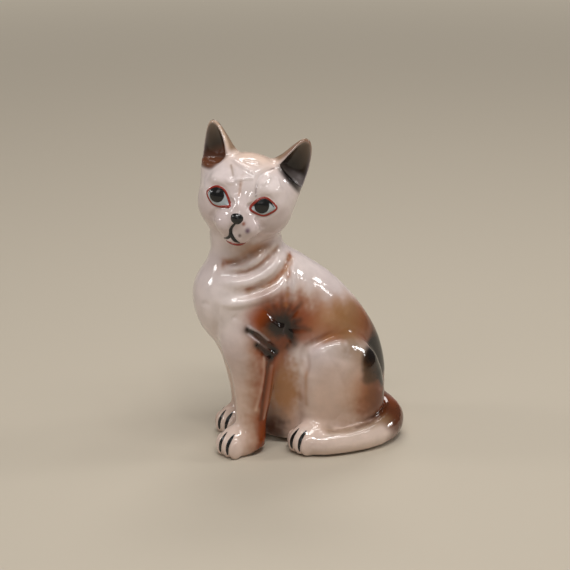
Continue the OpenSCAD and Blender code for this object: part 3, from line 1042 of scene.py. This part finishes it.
def vent_tool():
    """The round vent under the foot, as the frame's record gives it."""
    vent = MOUNTS["vent_hole"]
    centre = (np.array(vent["pos_m"]) - HOME) / UNIT
    radius = vent["dims"]["r_mm"] * 0.001 / UNIT
    count = 64
    steps = np.linspace(0, 2 * np.pi, count, endpoint=False)
    ring = np.stack([centre[0] + radius * np.cos(steps), centre[1] + radius * np.sin(steps)], 1)
    low = np.column_stack([ring, np.full(count, -3.0)])
    high = np.column_stack([ring, np.full(count, 9.0)])
    sides = np.array([(i, (i + 1) % count, count + (i + 1) % count, count + i) for i in range(count)])
    tool = mesh_object("tool", np.vstack([low, high]), sides)
    shape = bmesh.new()
    shape.from_mesh(tool.data)
    bmesh.ops.holes_fill(shape, edges=shape.edges)
    bmesh.ops.recalc_face_normals(shape, faces=shape.faces)
    shape.to_mesh(tool.data)
    shape.free()
    return tool


@functools.cache
def cast_members(body_pitch, head_pitch, wall):
    """Cuts the modelled cat at its luting seams. Each member is a closed mesh in the potter's millimetres."""
    clay = modelled_clay(body_pitch, head_pitch)
    body, head = (block.surface(name) for block, name in zip(clay.blocks, ("body_skin", "head_skin")))
    members = {}

    def take(rest, tool, name):
        members[name] = cut_copy(rest, tool, "INTERSECT", name)
        left = cut_copy(rest, tool, "DIFFERENCE", "rest")
        discard(rest, tool)
        return left

    neck = neck_tool()
    upper = cut_copy(head, neck, "INTERSECT", "rest")
    rest = cut_copy(body, neck, "DIFFERENCE", "rest")
    discard(body, head, neck)
    for side, word in SIDES:
        upper = take(upper, ear_tool(side), "ear_" + word)
    rest = take(rest, form_tool([limb(TAIL).grown(0.5)]), "tail")
    for side, word in SIDES:
        pad, toes = paw_forms(hind_paw_place(side), HIND_PAW_R, HIND_PAW_REACH)
        rest = take(rest, form_tool([form.grown(0.5) for form in (pad, *toes)]), "hind_paw_" + word)
        pad, toes = paw_forms(forepaw_place(side), FOREPAW_R, FOREPAW_REACH)
        rest = take(rest, form_tool([form.grown(0.6) for form in (foreleg_form(side), pad, *toes)], 0.7, 2.0),
                    "foreleg_" + word)
    cavity, vent = cavity_tool(wall), vent_tool()
    members["head"] = cut_copy(upper, cavity, "DIFFERENCE", "head")
    hollow = cut_copy(rest, cavity, "DIFFERENCE", "rest")
    members["torso"] = cut_copy(hollow, vent, "DIFFERENCE", "torso")
    discard(upper, rest, hollow, cavity, vent)
    return members


def glaze_member(thing, clay, settings, slot):
    """Paints a member, gives its skin the clay's own smoothness, and sets it in the frame."""
    mesh = thing.data
    points = points_of(thing)
    shades = paint(points, colours_of(settings))
    # The airbrushed colours, with painted light and shade among them
    layer = mesh.attributes.new("airbrush", "FLOAT_COLOR", "POINT")
    opaque = np.column_stack([shades, np.ones(len(shades))])
    layer.data.foreach_set("color", opaque.astype(np.float32).ravel())
    outward = clay.outward(points)
    on_skin = np.abs(clay.depth(points)) < 0.2
    corner = np.empty(len(mesh.loops), np.int32)
    mesh.loops.foreach_get("vertex_index", corner)
    face_normals = np.empty(3 * len(mesh.polygons), np.float32)
    mesh.polygons.foreach_get("normal", face_normals)
    totals = np.empty(len(mesh.polygons), np.int32)
    mesh.polygons.foreach_get("loop_total", totals)
    of_corner = np.repeat(face_normals.reshape(-1, 3), totals, axis=0)
    skin = on_skin[corner] & ((of_corner * outward[corner]).sum(1) > 0.25)
    mesh.normals_split_custom_set(np.where(skin[:, None], outward[corner], 0.0))
    to_frame(thing)
    mesh.materials.clear()
    mesh.materials.append(glaze_material(slot))
    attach(thing, BODY)
    return thing


def colours_of(settings):
    """The settings' colours as plain triples."""
    names = ("white", "lustre", "tan", "brown", "dark", "black", "olive", "peach", "mauve", "ear", "rust")
    return types.SimpleNamespace(**{name: np.array(getattr(settings, name)[:3]) for name in names})


# ---------------------------------------------------------------- materials

def new_material(name):
    """A node material, with its shader and a way to add and join nodes."""
    material = bpy.data.materials.get(name)
    if material:
        return material, None, None, None
    material = bpy.data.materials.new(name)
    material.use_nodes = True
    nodes, links = material.node_tree.nodes, material.node_tree.links
    return material, nodes, links, nodes["Principled BSDF"]


def noise(nodes, links, size, detail=2.0, rough=0.5):
    """Unevenness of about the given size in millimetres, read from the object's own coordinates."""
    place = nodes.new("ShaderNodeTexCoord")
    texture = nodes.new("ShaderNodeTexNoise")
    texture.inputs["Scale"].default_value = 1 / (size * UNIT)
    texture.inputs["Detail"].default_value = detail
    texture.inputs["Roughness"].default_value = rough
    links.new(place.outputs["Object"], texture.inputs["Vector"])
    return texture.outputs["Fac"]


def span(nodes, links, source, low, high):
    """Maps 0 to 1 onto a range."""
    node = nodes.new("ShaderNodeMapRange")
    node.inputs["To Min"].default_value = low
    node.inputs["To Max"].default_value = high
    links.new(source, node.inputs["Value"])
    return node.outputs["Result"]


# The glaze lies thicker, and shines more, on some members
GLAZE_IOR = {"white_glaze": 1.57, "tail_glaze": 1.7}


def glaze_material(slot):
    """A clear glaze over airbrushed colour and painted light and shade, slightly uneven and finely mottled.
    """
    material, nodes, links, shader = new_material("glaze_" + slot)
    if nodes is None:
        return material
    colour = nodes.new("ShaderNodeAttribute")
    colour.attribute_name = "airbrush"
    mottle = nodes.new("ShaderNodeMix")
    mottle.data_type = "RGBA"
    mottle.blend_type = "MULTIPLY"
    mottle.inputs["Factor"].default_value = 1.0
    links.new(colour.outputs["Color"], mottle.inputs["A"])
    tone = span(nodes, links, noise(nodes, links, 5.0, 4.0), 0.86, 1.1)
    links.new(tone, mottle.inputs["B"])
    links.new(mottle.outputs["Result"], shader.inputs["Base Color"])
    links.new(span(nodes, links, noise(nodes, links, 7.0, 3.0), 0.05, 0.11), shader.inputs["Roughness"])
    bump = nodes.new("ShaderNodeBump")
    bump.inputs["Strength"].default_value = 0.25
    bump.inputs["Distance"].default_value = 0.25 * UNIT
    links.new(noise(nodes, links, 2.6, 2.0), bump.inputs["Height"])
    links.new(bump.outputs["Normal"], shader.inputs["Normal"])
    shader.inputs["IOR"].default_value = GLAZE_IOR.get(slot, 1.5)
    shader.inputs["Specular IOR Level"].default_value = 0.44
    return material


def enamel_material(name, tone, other, rough):
    """Fired enamel: two near shades worked into each other, with a gloss."""
    material, nodes, links, shader = new_material(name)
    if nodes is None:
        return material
    blend = nodes.new("ShaderNodeMix")
    blend.data_type = "RGBA"
    blend.inputs["A"].default_value = (*tone[:3], 1)
    blend.inputs["B"].default_value = (*other[:3], 1)
    links.new(span(nodes, links, noise(nodes, links, 1.1, 4.0), -0.2, 1.2), blend.inputs["Factor"])
    links.new(blend.outputs["Result"], shader.inputs["Base Color"])
    gloss = span(nodes, links, noise(nodes, links, 2.0, 2.0), rough, rough + 0.12)
    links.new(gloss, shader.inputs["Roughness"])
    shader.inputs["Specular IOR Level"].default_value = 0.24
    return material


# ---------------------------------------------------------------- enamel

def stroke_tree():
    """The brush stroke as a node tree: a flat bead of enamel laid on the skin along a path."""
    tree = bpy.data.node_groups.get("enamel_stroke")
    if tree:
        return tree
    tree = bpy.data.node_groups.new("enamel_stroke", "GeometryNodeTree")
    face = tree.interface
    face.new_socket("Path", in_out="INPUT", socket_type="NodeSocketGeometry")
    face.new_socket("Skin", in_out="INPUT", socket_type="NodeSocketObject")
    face.new_socket("Spacing", in_out="INPUT", socket_type="NodeSocketFloat")
    face.new_socket("Width", in_out="INPUT", socket_type="NodeSocketFloat")
    face.new_socket("Thickness", in_out="INPUT", socket_type="NodeSocketFloat")
    face.new_socket("Enamel", in_out="INPUT", socket_type="NodeSocketMaterial")
    face.new_socket("Stroke", in_out="OUTPUT", socket_type="NodeSocketGeometry")
    nodes, links = tree.nodes, tree.links
    given, result = nodes.new("NodeGroupInput"), nodes.new("NodeGroupOutput")
    curve = nodes.new("GeometryNodeMeshToCurve")
    links.new(given.outputs["Path"], curve.inputs["Mesh"])
    even = nodes.new("GeometryNodeResampleCurve")
    even.mode = "LENGTH"
    links.new(curve.outputs["Curve"], even.inputs["Curve"])
    links.new(given.outputs["Spacing"], even.inputs["Length"])
    skin = nodes.new("GeometryNodeObjectInfo")
    links.new(given.outputs["Skin"], skin.inputs["Object"])
    place, normal = nodes.new("GeometryNodeInputPosition"), nodes.new("GeometryNodeInputNormal")
    onto, out = (nodes.new("GeometryNodeSampleNearestSurface") for _ in range(2))
    for node, value in ((onto, place.outputs["Position"]), (out, normal.outputs["Normal"])):
        node.data_type = "FLOAT_VECTOR"
        links.new(skin.outputs["Geometry"], node.inputs["Mesh"])
        links.new(value, node.inputs["Value"])
    laid = nodes.new("GeometryNodeSetPosition")
    links.new(even.outputs["Curve"], laid.inputs["Geometry"])
    links.new(onto.outputs["Value"], laid.inputs["Position"])
    facing = nodes.new("GeometryNodeSetCurveNormal")
    facing.mode = "FREE"
    links.new(laid.outputs["Geometry"], facing.inputs["Curve"])
    links.new(out.outputs["Value"], facing.inputs["Normal"])
    ring = nodes.new("GeometryNodeCurvePrimitiveCircle")
    ring.inputs["Resolution"].default_value = 14
    ring.inputs["Radius"].default_value = 1.0
    shape = nodes.new("ShaderNodeCombineXYZ")
    links.new(given.outputs["Thickness"], shape.inputs["X"])
    links.new(given.outputs["Width"], shape.inputs["Y"])
    shape.inputs["Z"].default_value = 1.0
    profile = nodes.new("GeometryNodeTransform")
    links.new(ring.outputs["Curve"], profile.inputs["Geometry"])
    links.new(shape.outputs["Vector"], profile.inputs["Scale"])
    press = nodes.new("GeometryNodeInputNamedAttribute")
    press.data_type = "FLOAT"
    press.inputs["Name"].default_value = "press"
    bead = nodes.new("GeometryNodeCurveToMesh")
    bead.inputs["Fill Caps"].default_value = True
    links.new(facing.outputs["Curve"], bead.inputs["Curve"])
    links.new(profile.outputs["Geometry"], bead.inputs["Profile Curve"])
    links.new(press.outputs["Attribute"], bead.inputs["Scale"])
    real = nodes.new("GeometryNodeRealizeInstances")
    links.new(bead.outputs["Mesh"], real.inputs["Geometry"])
    coat = nodes.new("GeometryNodeSetMaterial")
    links.new(real.outputs["Geometry"], coat.inputs["Geometry"])
    links.new(given.outputs["Enamel"], coat.inputs["Material"])
    links.new(coat.outputs["Geometry"], result.inputs["Stroke"])
    return tree


def lay_strokes(name, skin, paths, width, thickness, material, closed=False):
    """Lays one stroke of enamel along each path. A path holds x, y, z and how hard the brush presses."""
    points, edges = [], []
    for path in paths:
        start = len(points)
        points.extend(path)
        edges.extend((start + i, start + i + 1) for i in range(len(path) - 1))
        if closed:
            edges.append((len(points) - 1, start))
    mesh = bpy.data.meshes.new(name)
    mesh.from_pydata([tuple(p[:3]) for p in points], edges, [])
    mesh.attributes.new("press", "FLOAT", "POINT").data.foreach_set("value", [float(p[3]) for p in points])
    line = bpy.data.objects.new(name + "_line", mesh)
    bpy.context.collection.objects.link(line)
    modifier = line.modifiers.new("stroke", "NODES")
    modifier.node_group = stroke_tree()
    values = {"Skin": skin, "Spacing": 0.3, "Width": width / 2, "Thickness": thickness, "Enamel": material}
    for item in stroke_tree().interface.items_tree:
        if item.in_out == "INPUT" and item.name in values:
            modifier[item.identifier] = values[item.name]
    depsgraph = bpy.context.evaluated_depsgraph_get()
    bead = bpy.data.meshes.new_from_object(line.evaluated_get(depsgraph))
    bead.polygons.foreach_set("use_smooth", np.ones(len(bead.polygons), bool))
    discard(line)
    thing = bpy.data.objects.new(name, bead)
    bpy.context.collection.objects.link(thing)
    return thing


def swell(path, thin=0.25, power=0.6):
    """Gives a path the press of a brush that lands, swells and lifts."""
    path = np.asarray(path)
    t = np.linspace(0, 1, len(path))
    return np.column_stack([path, np.maximum(np.sin(np.pi * t) ** power, thin)])


def enamel_patch(name, clay, outline, thickness, material, rings=9, sink=0.25, dome=2.0):
    """A filled patch of enamel on the face. It domes to its thickness, and its back is sunk in the glaze."""
    loop = smooth_path(outline, 6, closed=True)
    middle = loop.mean(0)
    count = len(loop)
    shares = [i / rings for i in range(1, rings + 1)]
    flat = np.vstack([middle[None]] + [middle + (loop - middle) * share for share in shares])
    reach = np.concatenate([[0], np.repeat(shares, count)])
    ground = face_drop(clay, flat)
    out = clay.outward(ground)
    top = ground + out * (thickness * (1 - reach ** (2 * dome)) - 0.02 * reach)[:, None]
    under = ground - out * sink
    total = len(flat)
    faces = []
    for offset, flip in ((0, False), (total, True)):
        for i in range(count):
            j = (i + 1) % count
            tri = (offset, offset + 1 + i, offset + 1 + j)
            faces.append(tri[::-1] if flip else tri)
            for ring in range(rings - 1):
                a, b = 1 + ring * count, 1 + (ring + 1) * count
                quad = (offset + a + i, offset + b + i, offset + b + j, offset + a + j)
                faces.append(quad[::-1] if flip else quad)
    rim = 1 + (rings - 1) * count
    for i in range(count):
        j = (i + 1) % count
        faces.append((rim + i, total + rim + i, total + rim + j, rim + j))
    mesh = bpy.data.meshes.new(name)
    mesh.from_pydata(np.vstack([top, under]).tolist(), [], faces)
    shape = bmesh.new()
    shape.from_mesh(mesh)
    bmesh.ops.recalc_face_normals(shape, faces=shape.faces)
    shape.to_mesh(mesh)
    shape.free()
    mesh.polygons.foreach_set("use_smooth", np.ones(len(mesh.polygons), bool))
    mesh.materials.append(material)
    thing = bpy.data.objects.new(name, mesh)
    bpy.context.collection.objects.link(thing)
    return thing


def fire(thing, node):
    """Sets a piece of enamel in the frame, in place of its plain node."""
    to_frame(thing)
    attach(thing, BODY)
    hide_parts(node)


# ---------------------------------------------------------------- settings

def tint(label, text, value):
    """A colour that the user can change."""
    return bpy.props.FloatVectorProperty(
        name=label, description=text, subtype="COLOR", size=3, min=0, max=1, default=value)


def size(label, text, value):
    """A size in the potter's millimetres."""
    return bpy.props.FloatProperty(name=label, description=text, default=value, min=0.01, unit="NONE")


class CatClaySettings(bpy.types.PropertyGroup):
    """How finely the clay is modelled and how thick the slip is cast."""

    body_pitch: size("Body detail", "Spacing of the body's modelling points, in millimetres", 0.57)
    head_pitch: size("Head detail", "Spacing of the head's modelling points, in millimetres", 0.38)
    wall: size("Wall", "Thickness of the cast wall, in millimetres", 3.5)


class CatGlazeSettings(bpy.types.PropertyGroup):
    """The airbrushed colours under the glaze, some of which are also laid as painted light and shade."""

    white: tint("White", "The bare white of the body", (0.80, 0.70, 0.67))
    # The mauve cast of the white. It is also laid as painted highlights along the lips of the slit, and as
    # painted shade over the lower face.
    lustre: tint("Lustre", "The mauve cast of the white", (0.66, 0.55, 0.54))
    tan: tint("Tan", "The thin edge of the brown", (0.40, 0.18, 0.065))
    brown: tint("Brown", "The orange brown of the shoulder", (0.26, 0.052, 0.009))
    dark: tint("Dark brown", "The darkest brown", (0.07, 0.020, 0.006))
    black: tint("Black", "The black of the armpit and rump", (0.008, 0.005, 0.004))
    olive: tint("Olive", "The olive brown of the ears' backs", (0.22, 0.13, 0.06))
    peach: tint("Peach", "The warm crown", (0.78, 0.56, 0.42))
    mauve: tint("Mauve", "The specks on the muzzle", (0.10, 0.03, 0.09))
    ear: tint("Ear black", "The inside of the ears", (0.007, 0.004, 0.003))
    rust: tint("Rust", "The foot of the ears' inside", (0.19, 0.07, 0.035))


class CatEnamelSettings(bpy.types.PropertyGroup):
    """The enamel that is painted over the glaze."""

    black: tint("Black enamel", "Pupils, nose, mouth and toe lines", (0.006, 0.005, 0.006))
    red: tint("Red enamel", "Eye rims and lip", (0.115, 0.012, 0.007))
    eye: tint("Eye enamel", "The blue grey of the eyes", (0.085, 0.10, 0.105))
    thickness: size("Thickness", "How far the enamel stands proud, in millimetres", 0.3)
    rim_width: size("Rim width", "Width of the eye rims, in millimetres", 1.15)
    line_width: size("Line width", "Width of the toe lines, in millimetres", 2.2)


class CatStageSettings(bpy.types.PropertyGroup):
    """The table, the lights and the camera."""

    floor: tint("Table", "Colour of the table", (0.52, 0.46, 0.37))
    glow: bpy.props.FloatProperty(
        name="Glow", description="How brightly the far table glows", subtype="FACTOR", default=0.8, min=0,
        max=2)
    azimuth: bpy.props.FloatProperty(
        name="Azimuth", description="Where the camera stands round the cat", subtype="ANGLE",
        default=math.radians(70))
    elevation: bpy.props.FloatProperty(
        name="Elevation", description="How high the camera stands", subtype="ANGLE", default=math.radians(18))
    distance: size("Distance", "From the camera to the cat, in millimetres", 700)
    lens: size("Lens", "Focal length of the camera, in millimetres", 99.03)


# ---------------------------------------------------------------- operators


def spacing(cat):
    """The spacing of the modelling points in the body and in the head."""
    step = 1.0
    return cat.body_pitch * step, cat.head_pitch * step


def clay_now(scene):
    """The modelled clay at the settings' detail."""
    return modelled_clay(*spacing(scene.cat_clay))


def members_now(scene):
    """The cast members at the settings' detail."""
    return cast_members(*spacing(scene.cat_clay), scene.cat_clay.wall)


def glaze_members(context, slot, *names):
    """Glazes members and sets them in place of their plain nodes."""
    for name in names:
        thing = members_now(context.scene)[name]
        thing.name = "glazed_" + name
        glaze_member(thing, clay_now(context.scene), context.scene.cat_glaze, slot)
        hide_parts(name)


def enamel_kit(context):
    """The three enamels."""
    enamel = context.scene.cat_enamel
    black = enamel_material("black_enamel", enamel.black, [v * 2.2 for v in enamel.black], 0.08)
    red = enamel_material("red_enamel", enamel.red, [v * 0.35 for v in enamel.red], 0.2)
    eye = enamel_material("eye_enamel", enamel.eye, [v * 0.55 for v in enamel.eye], 0.12)
    return enamel, black, red, eye


def skin_near(context, name):
    """A member's skin in the potter's millimetres, for laying strokes on."""
    member = members_now(context.scene)[name]
    copy = bpy.data.objects.new("skin", member.data.copy())
    bpy.context.collection.objects.link(copy)
    copy.data.transform(Matrix.Scale(1 / UNIT, 4) @ Matrix.Translation(-Vector(HOME)))
    return copy


class CAT_OT_torso(bpy.types.Operator):
    """Cast and glaze the torso with its haunches and neck"""
    bl_idname = "cat.torso"
    bl_label = "Torso"

    def execute(self, context):
        glaze_members(context, "white_glaze", "torso")
        return {"FINISHED"}


class CAT_OT_head(bpy.types.Operator):
    """Cast and glaze the head"""
    bl_idname = "cat.head"
    bl_label = "Head"

    def execute(self, context):
        glaze_members(context, "white_glaze", "head")
        return {"FINISHED"}


class CAT_OT_ears(bpy.types.Operator):
    """Cast and glaze both ears"""
    bl_idname = "cat.ears"
    bl_label = "Ears"

    def execute(self, context):
        glaze_members(context, "brown_glaze", "ear_left", "ear_right")
        return {"FINISHED"}


class CAT_OT_legs(bpy.types.Operator):
    """Cast and glaze the forelegs and the hind paws"""
    bl_idname = "cat.legs"
    bl_label = "Legs and paws"

    def execute(self, context):
        names = [leg + side for leg in ("foreleg", "hind_paw") for side in ("_left", "_right")]
        glaze_members(context, "white_glaze", *names)
        return {"FINISHED"}


class CAT_OT_tail(bpy.types.Operator):
    """Cast and glaze the tail"""
    bl_idname = "cat.tail"
    bl_label = "Tail"

    def execute(self, context):
        glaze_members(context, "tail_glaze", "tail")
        return {"FINISHED"}


class CAT_OT_eyes(bpy.types.Operator):
    """Paint the rims, whites and pupils of the eyes"""
    bl_idname = "cat.eyes"
    bl_label = "Eyes"

    def execute(self, context):
        clay = clay_now(context.scene)
        enamel, black, red, eye = enamel_kit(context)
        skin = skin_near(context, "head")
        for word, outline in EYE_OUTLINES.items():
            white = enamel_patch("painted_eye_white_" + word, clay, outline, 0.12, eye)
            fire(white, "eye_white_" + word)
            (x, z), (wide, tall) = PUPILS[word]
            angles = np.linspace(0, 2 * np.pi, 16, endpoint=False)
            disc = [(x + wide * math.cos(a), z + tall * math.sin(a)) for a in angles]
            disc = enamel_patch("disc", clay, disc, 0.45, black, dome=1.0)
            # The black lash line, widened into painted shadow of the upper lid over the white
            upper = smooth_path(LASH_LINES_AND_SHADOWS[word], 5)
            lash = swell(face_drop(clay, upper), 0.3)
            lash = lay_strokes("lash", skin, [lash], 1.3, enamel.thickness * 0.8, black)
            pupil = join_things("painted_pupil_" + word, disc, lash)
            fire(pupil, "pupil_" + word)
            loop = face_loop(clay, outline)[:-1]
            share = np.linspace(0, 2 * np.pi, len(loop), endpoint=False)
            path = np.column_stack([loop, 1 + 0.12 * np.sin(2 * share)])
            rim = lay_strokes(
                "painted_eye_rim_" + word, skin, [path], enamel.rim_width, enamel.thickness, red, True)
            fire(rim, "eye_rim_" + word)
        discard(skin)
        return {"FINISHED"}


class CAT_OT_nose(bpy.types.Operator):
    """Paint the nose"""
    bl_idname = "cat.nose"
    bl_label = "Nose"

    def execute(self, context):
        _, black, _, _ = enamel_kit(context)
        nose = enamel_patch("painted_nose", clay_now(context.scene), NOSE_OUTLINE, 0.85, black, dome=1.0)
        fire(nose, "nose")
        return {"FINISHED"}


class CAT_OT_mouth(bpy.types.Operator):
    """Paint the mouth line and the lower lip"""
    bl_idname = "cat.mouth"
    bl_label = "Mouth"

    def execute(self, context):
        clay = clay_now(context.scene)
        enamel, black, red, _ = enamel_kit(context)
        skin = skin_near(context, "head")
        strokes = [
            [(0.2, -7.4), (-1.3, -9.4), (-1.9, -11.4), (-1.6, -13.4), (-2.6, -15.2), (-4.6, -16.4)],
            [(-1.6, -12.0), (-0.9, -14.0), (0.6, -15.6), (2.6, -16.4)],
        ]
        paths = [swell(face_drop(clay, smooth_path(stroke, 4)), 0.35, 0.5) for stroke in strokes]
        mouth = lay_strokes("painted_mouth", skin, paths, 1.75, enamel.thickness, black)
        fire(mouth, "mouth_line")
        lip = enamel_patch("painted_lip", clay, LIP_OUTLINE, enamel.thickness, red)
        fire(lip, "lower_lip")
        discard(skin)
        return {"FINISHED"}


class CAT_OT_toe_lines(bpy.types.Operator):
    """Paint the lines between the toes of all four paws"""
    bl_idname = "cat.toe_lines"
    bl_label = "Toe lines"

    def execute(self, context):
        clay = clay_now(context.scene)
        enamel, black, _, _ = enamel_kit(context)
        for member, place, radii, reach in (
            ("foreleg", forepaw_place, FOREPAW_R, FOREPAW_REACH),
            ("hind_paw", hind_paw_place, HIND_PAW_R, HIND_PAW_REACH),
        ):
            for side, word in SIDES:
                name = member + "_" + word
                skin = skin_near(context, name)
                paths = [swell(clay.settle(smooth_path(path, 4)), 0.2, 0.7)
                         for path in toe_paths(place(side), radii, reach)]
                lines = lay_strokes(
                    "painted_" + name + "_toes", skin, paths, enamel.line_width, enamel.thickness, black)
                fire(lines, name + "_toe_lines")
                discard(skin)
        return {"FINISHED"}


class CAT_OT_stage(bpy.types.Operator):
    """Set the table, the lights and the camera"""
    bl_idname = "cat.stage"
    bl_label = "Stage"

    def execute(self, context):
        scene, settings = context.scene, context.scene.cat_stage
        middle = Vector(HOME) + Vector((0, 0, 72 * UNIT))
        lay_table(settings)
        world = bpy.data.worlds.new("studio")
        world.use_nodes = True
        world.node_tree.nodes["Background"].inputs["Color"].default_value = (1.0, 0.97, 0.93, 1)
        world.node_tree.nodes["Background"].inputs["Strength"].default_value = 0.08
        scene.world = world
        scene.view_settings.view_transform = "Standard"
        for light in LIGHTS:
            set_light(light[0], middle, *light[1:])
        camera = bpy.data.objects.new("camera", bpy.data.cameras.new("camera"))
        scene.collection.objects.link(camera)
        camera.data.sensor_width = 36
        camera.data.lens = settings.lens
        camera.data.clip_start, camera.data.clip_end = 0.01, 20
        back = way_to(settings.azimuth, settings.elevation)
        camera.location = middle + back * settings.distance * UNIT
        camera.rotation_euler = (-back).to_track_quat("-Z", "Y").to_euler()
        scene.camera = camera
        return {"FINISHED"}


def way_to(azimuth, elevation):
    """The direction from the cat to a place round it. The azimuth is counted from the front."""
    level = math.cos(elevation)
    return Vector((math.sin(azimuth) * level, -math.cos(azimuth) * level, math.sin(elevation)))


CLEAR = (1.0, 0.99, 0.98)
# name, azimuth, elevation, distance, width and height in metres, power in watts, colour
LIGHTS = [
    ("top_strip_near", 95, 58, 1.1, 1.0, 0.05, 2.0, (1.0, 0.98, 0.96)),
    ("top_strip_far", 130, 72, 1.1, 1.0, 0.05, 2.2, (1.0, 0.98, 0.96)),
    ("crown", -110, 56, 1.1, 0.6, 0.25, 3.8, (1.0, 0.97, 0.94)),
    ("window", 168, 22, 1.2, 0.2, 0.14, 2.5, CLEAR),
    ("front_soft", 30, 38, 1.3, 0.3, 0.3, 0.6, (1.0, 0.96, 0.93)),
    ("glint_front", 66, 26, 1.2, 0.09, 0.09, 0.4, CLEAR),
    ("glint_row", 60, 62, 1.0, 0.5, 0.1, 2.5, CLEAR),
    ("glint_tail_near", 104, 64, 1.2, 0.1, 0.1, 0.45, CLEAR),
    ("glint_tail_far", 124, 66, 1.2, 0.1, 0.1, 0.45, CLEAR),
    ("glint_brow", 40, 58, 1.2, 0.12, 0.06, 0.45, CLEAR),
    ("glint_cheek", 84, 56, 1.2, 0.08, 0.08, 0.3, CLEAR),
    ("glint_neck", 160, 14, 1.2, 0.1, 0.1, 0.45, CLEAR),
    ("glint_thigh", 78, 22, 1.2, 0.08, 0.08, 0.3, CLEAR),
    ("side_soft", -20, 24, 1.3, 0.22, 0.22, 2.3, (1.0, 0.98, 0.97)),
]


# Half the table's width, and the distances from the cat at which it starts to glow and glows fully, in metres
TABLE_HALF = 12.0
GLOW_FROM, GLOW_FULL = 0.35, 2.2


def set_light(name, middle, azimuth, elevation, distance, wide, tall, power, tone):
    """One rectangular light that looks at the cat."""
    lamp = bpy.data.lights.new(name, "AREA")
    lamp.shape = "RECTANGLE"
    lamp.size, lamp.size_y = wide, tall
    lamp.energy = power
    lamp.color = tone
    thing = bpy.data.objects.new(name, lamp)
    bpy.context.collection.objects.link(thing)
    way = way_to(math.radians(azimuth), math.radians(elevation))
    thing.location = middle + way * distance
    thing.rotation_euler = (-way).to_track_quat("-Z", "Y").to_euler()


def lay_table(settings):
    """A plain pale table, out to the horizon. It glows a little where the lamps don't reach."""
    half = TABLE_HALF
    points = [(x, y, HOME[2]) for x, y in ((-half, -half), (half, -half), (half, half), (-half, half))]
    mesh = bpy.data.meshes.new("table")
    mesh.from_pydata(points, [], [(0, 1, 2, 3)])
    table = bpy.data.objects.new("table", mesh)
    bpy.context.collection.objects.link(table)
    material, nodes, links, shader = new_material("pale_table")
    shader.inputs["Base Color"].default_value = (*settings.floor, 1)
    shader.inputs["Roughness"].default_value = 0.75
    place = nodes.new("ShaderNodeTexCoord")
    away = nodes.new("ShaderNodeVectorMath")
    away.operation = "LENGTH"
    links.new(place.outputs["Object"], away.inputs[0])
    glow = nodes.new("ShaderNodeMapRange")
    glow.interpolation_type = "SMOOTHSTEP"
    glow.inputs["From Min"].default_value = GLOW_FROM
    glow.inputs["From Max"].default_value = GLOW_FULL
    glow.inputs["To Max"].default_value = settings.glow
    links.new(away.outputs["Value"], glow.inputs["Value"])
    shader.inputs["Emission Color"].default_value = (*settings.floor, 1)
    links.new(glow.outputs["Result"], shader.inputs["Emission Strength"])
    mesh.materials.append(material)


class CAT_PT_panel(bpy.types.Panel):
    """Lists the figurine's pieces"""
    bl_label = "Ceramic cat"
    bl_idname = "CAT_PT_panel"
    bl_space_type = "VIEW_3D"
    bl_region_type = "UI"
    bl_category = "Cat"

    def draw(self, context):
        for group in (context.scene.cat_clay, context.scene.cat_glaze, context.scene.cat_enamel,
                      context.scene.cat_stage):
            for name in group.__annotations__:
                self.layout.prop(group, name)
        for operator in OPERATORS:
            self.layout.operator(operator.bl_idname)


SETTINGS = {"cat_clay": CatClaySettings, "cat_glaze": CatGlazeSettings, "cat_enamel": CatEnamelSettings,
            "cat_stage": CatStageSettings}
OPERATORS = (CAT_OT_torso, CAT_OT_head, CAT_OT_ears, CAT_OT_legs, CAT_OT_tail, CAT_OT_eyes, CAT_OT_nose,
             CAT_OT_mouth, CAT_OT_toe_lines, CAT_OT_stage)


def register():
    """Registers the settings, the operators and the panel."""
    for name, group in SETTINGS.items():
        bpy.utils.register_class(group)
        setattr(bpy.types.Scene, name, bpy.props.PointerProperty(type=group))
    for thing in (*OPERATORS, CAT_PT_panel):
        bpy.utils.register_class(thing)


def unregister():
    """Takes them all out again."""
    for thing in (CAT_PT_panel, *OPERATORS):
        bpy.utils.unregister_class(thing)
    for name, group in SETTINGS.items():
        delattr(bpy.types.Scene, name)
        bpy.utils.unregister_class(group)


def main():
    """Makes the whole cat and its stage."""
    register()
    for operator in OPERATORS:
        getattr(bpy.ops.cat, operator.bl_idname.split(".")[1])()


if __name__ == "__main__":
    main()
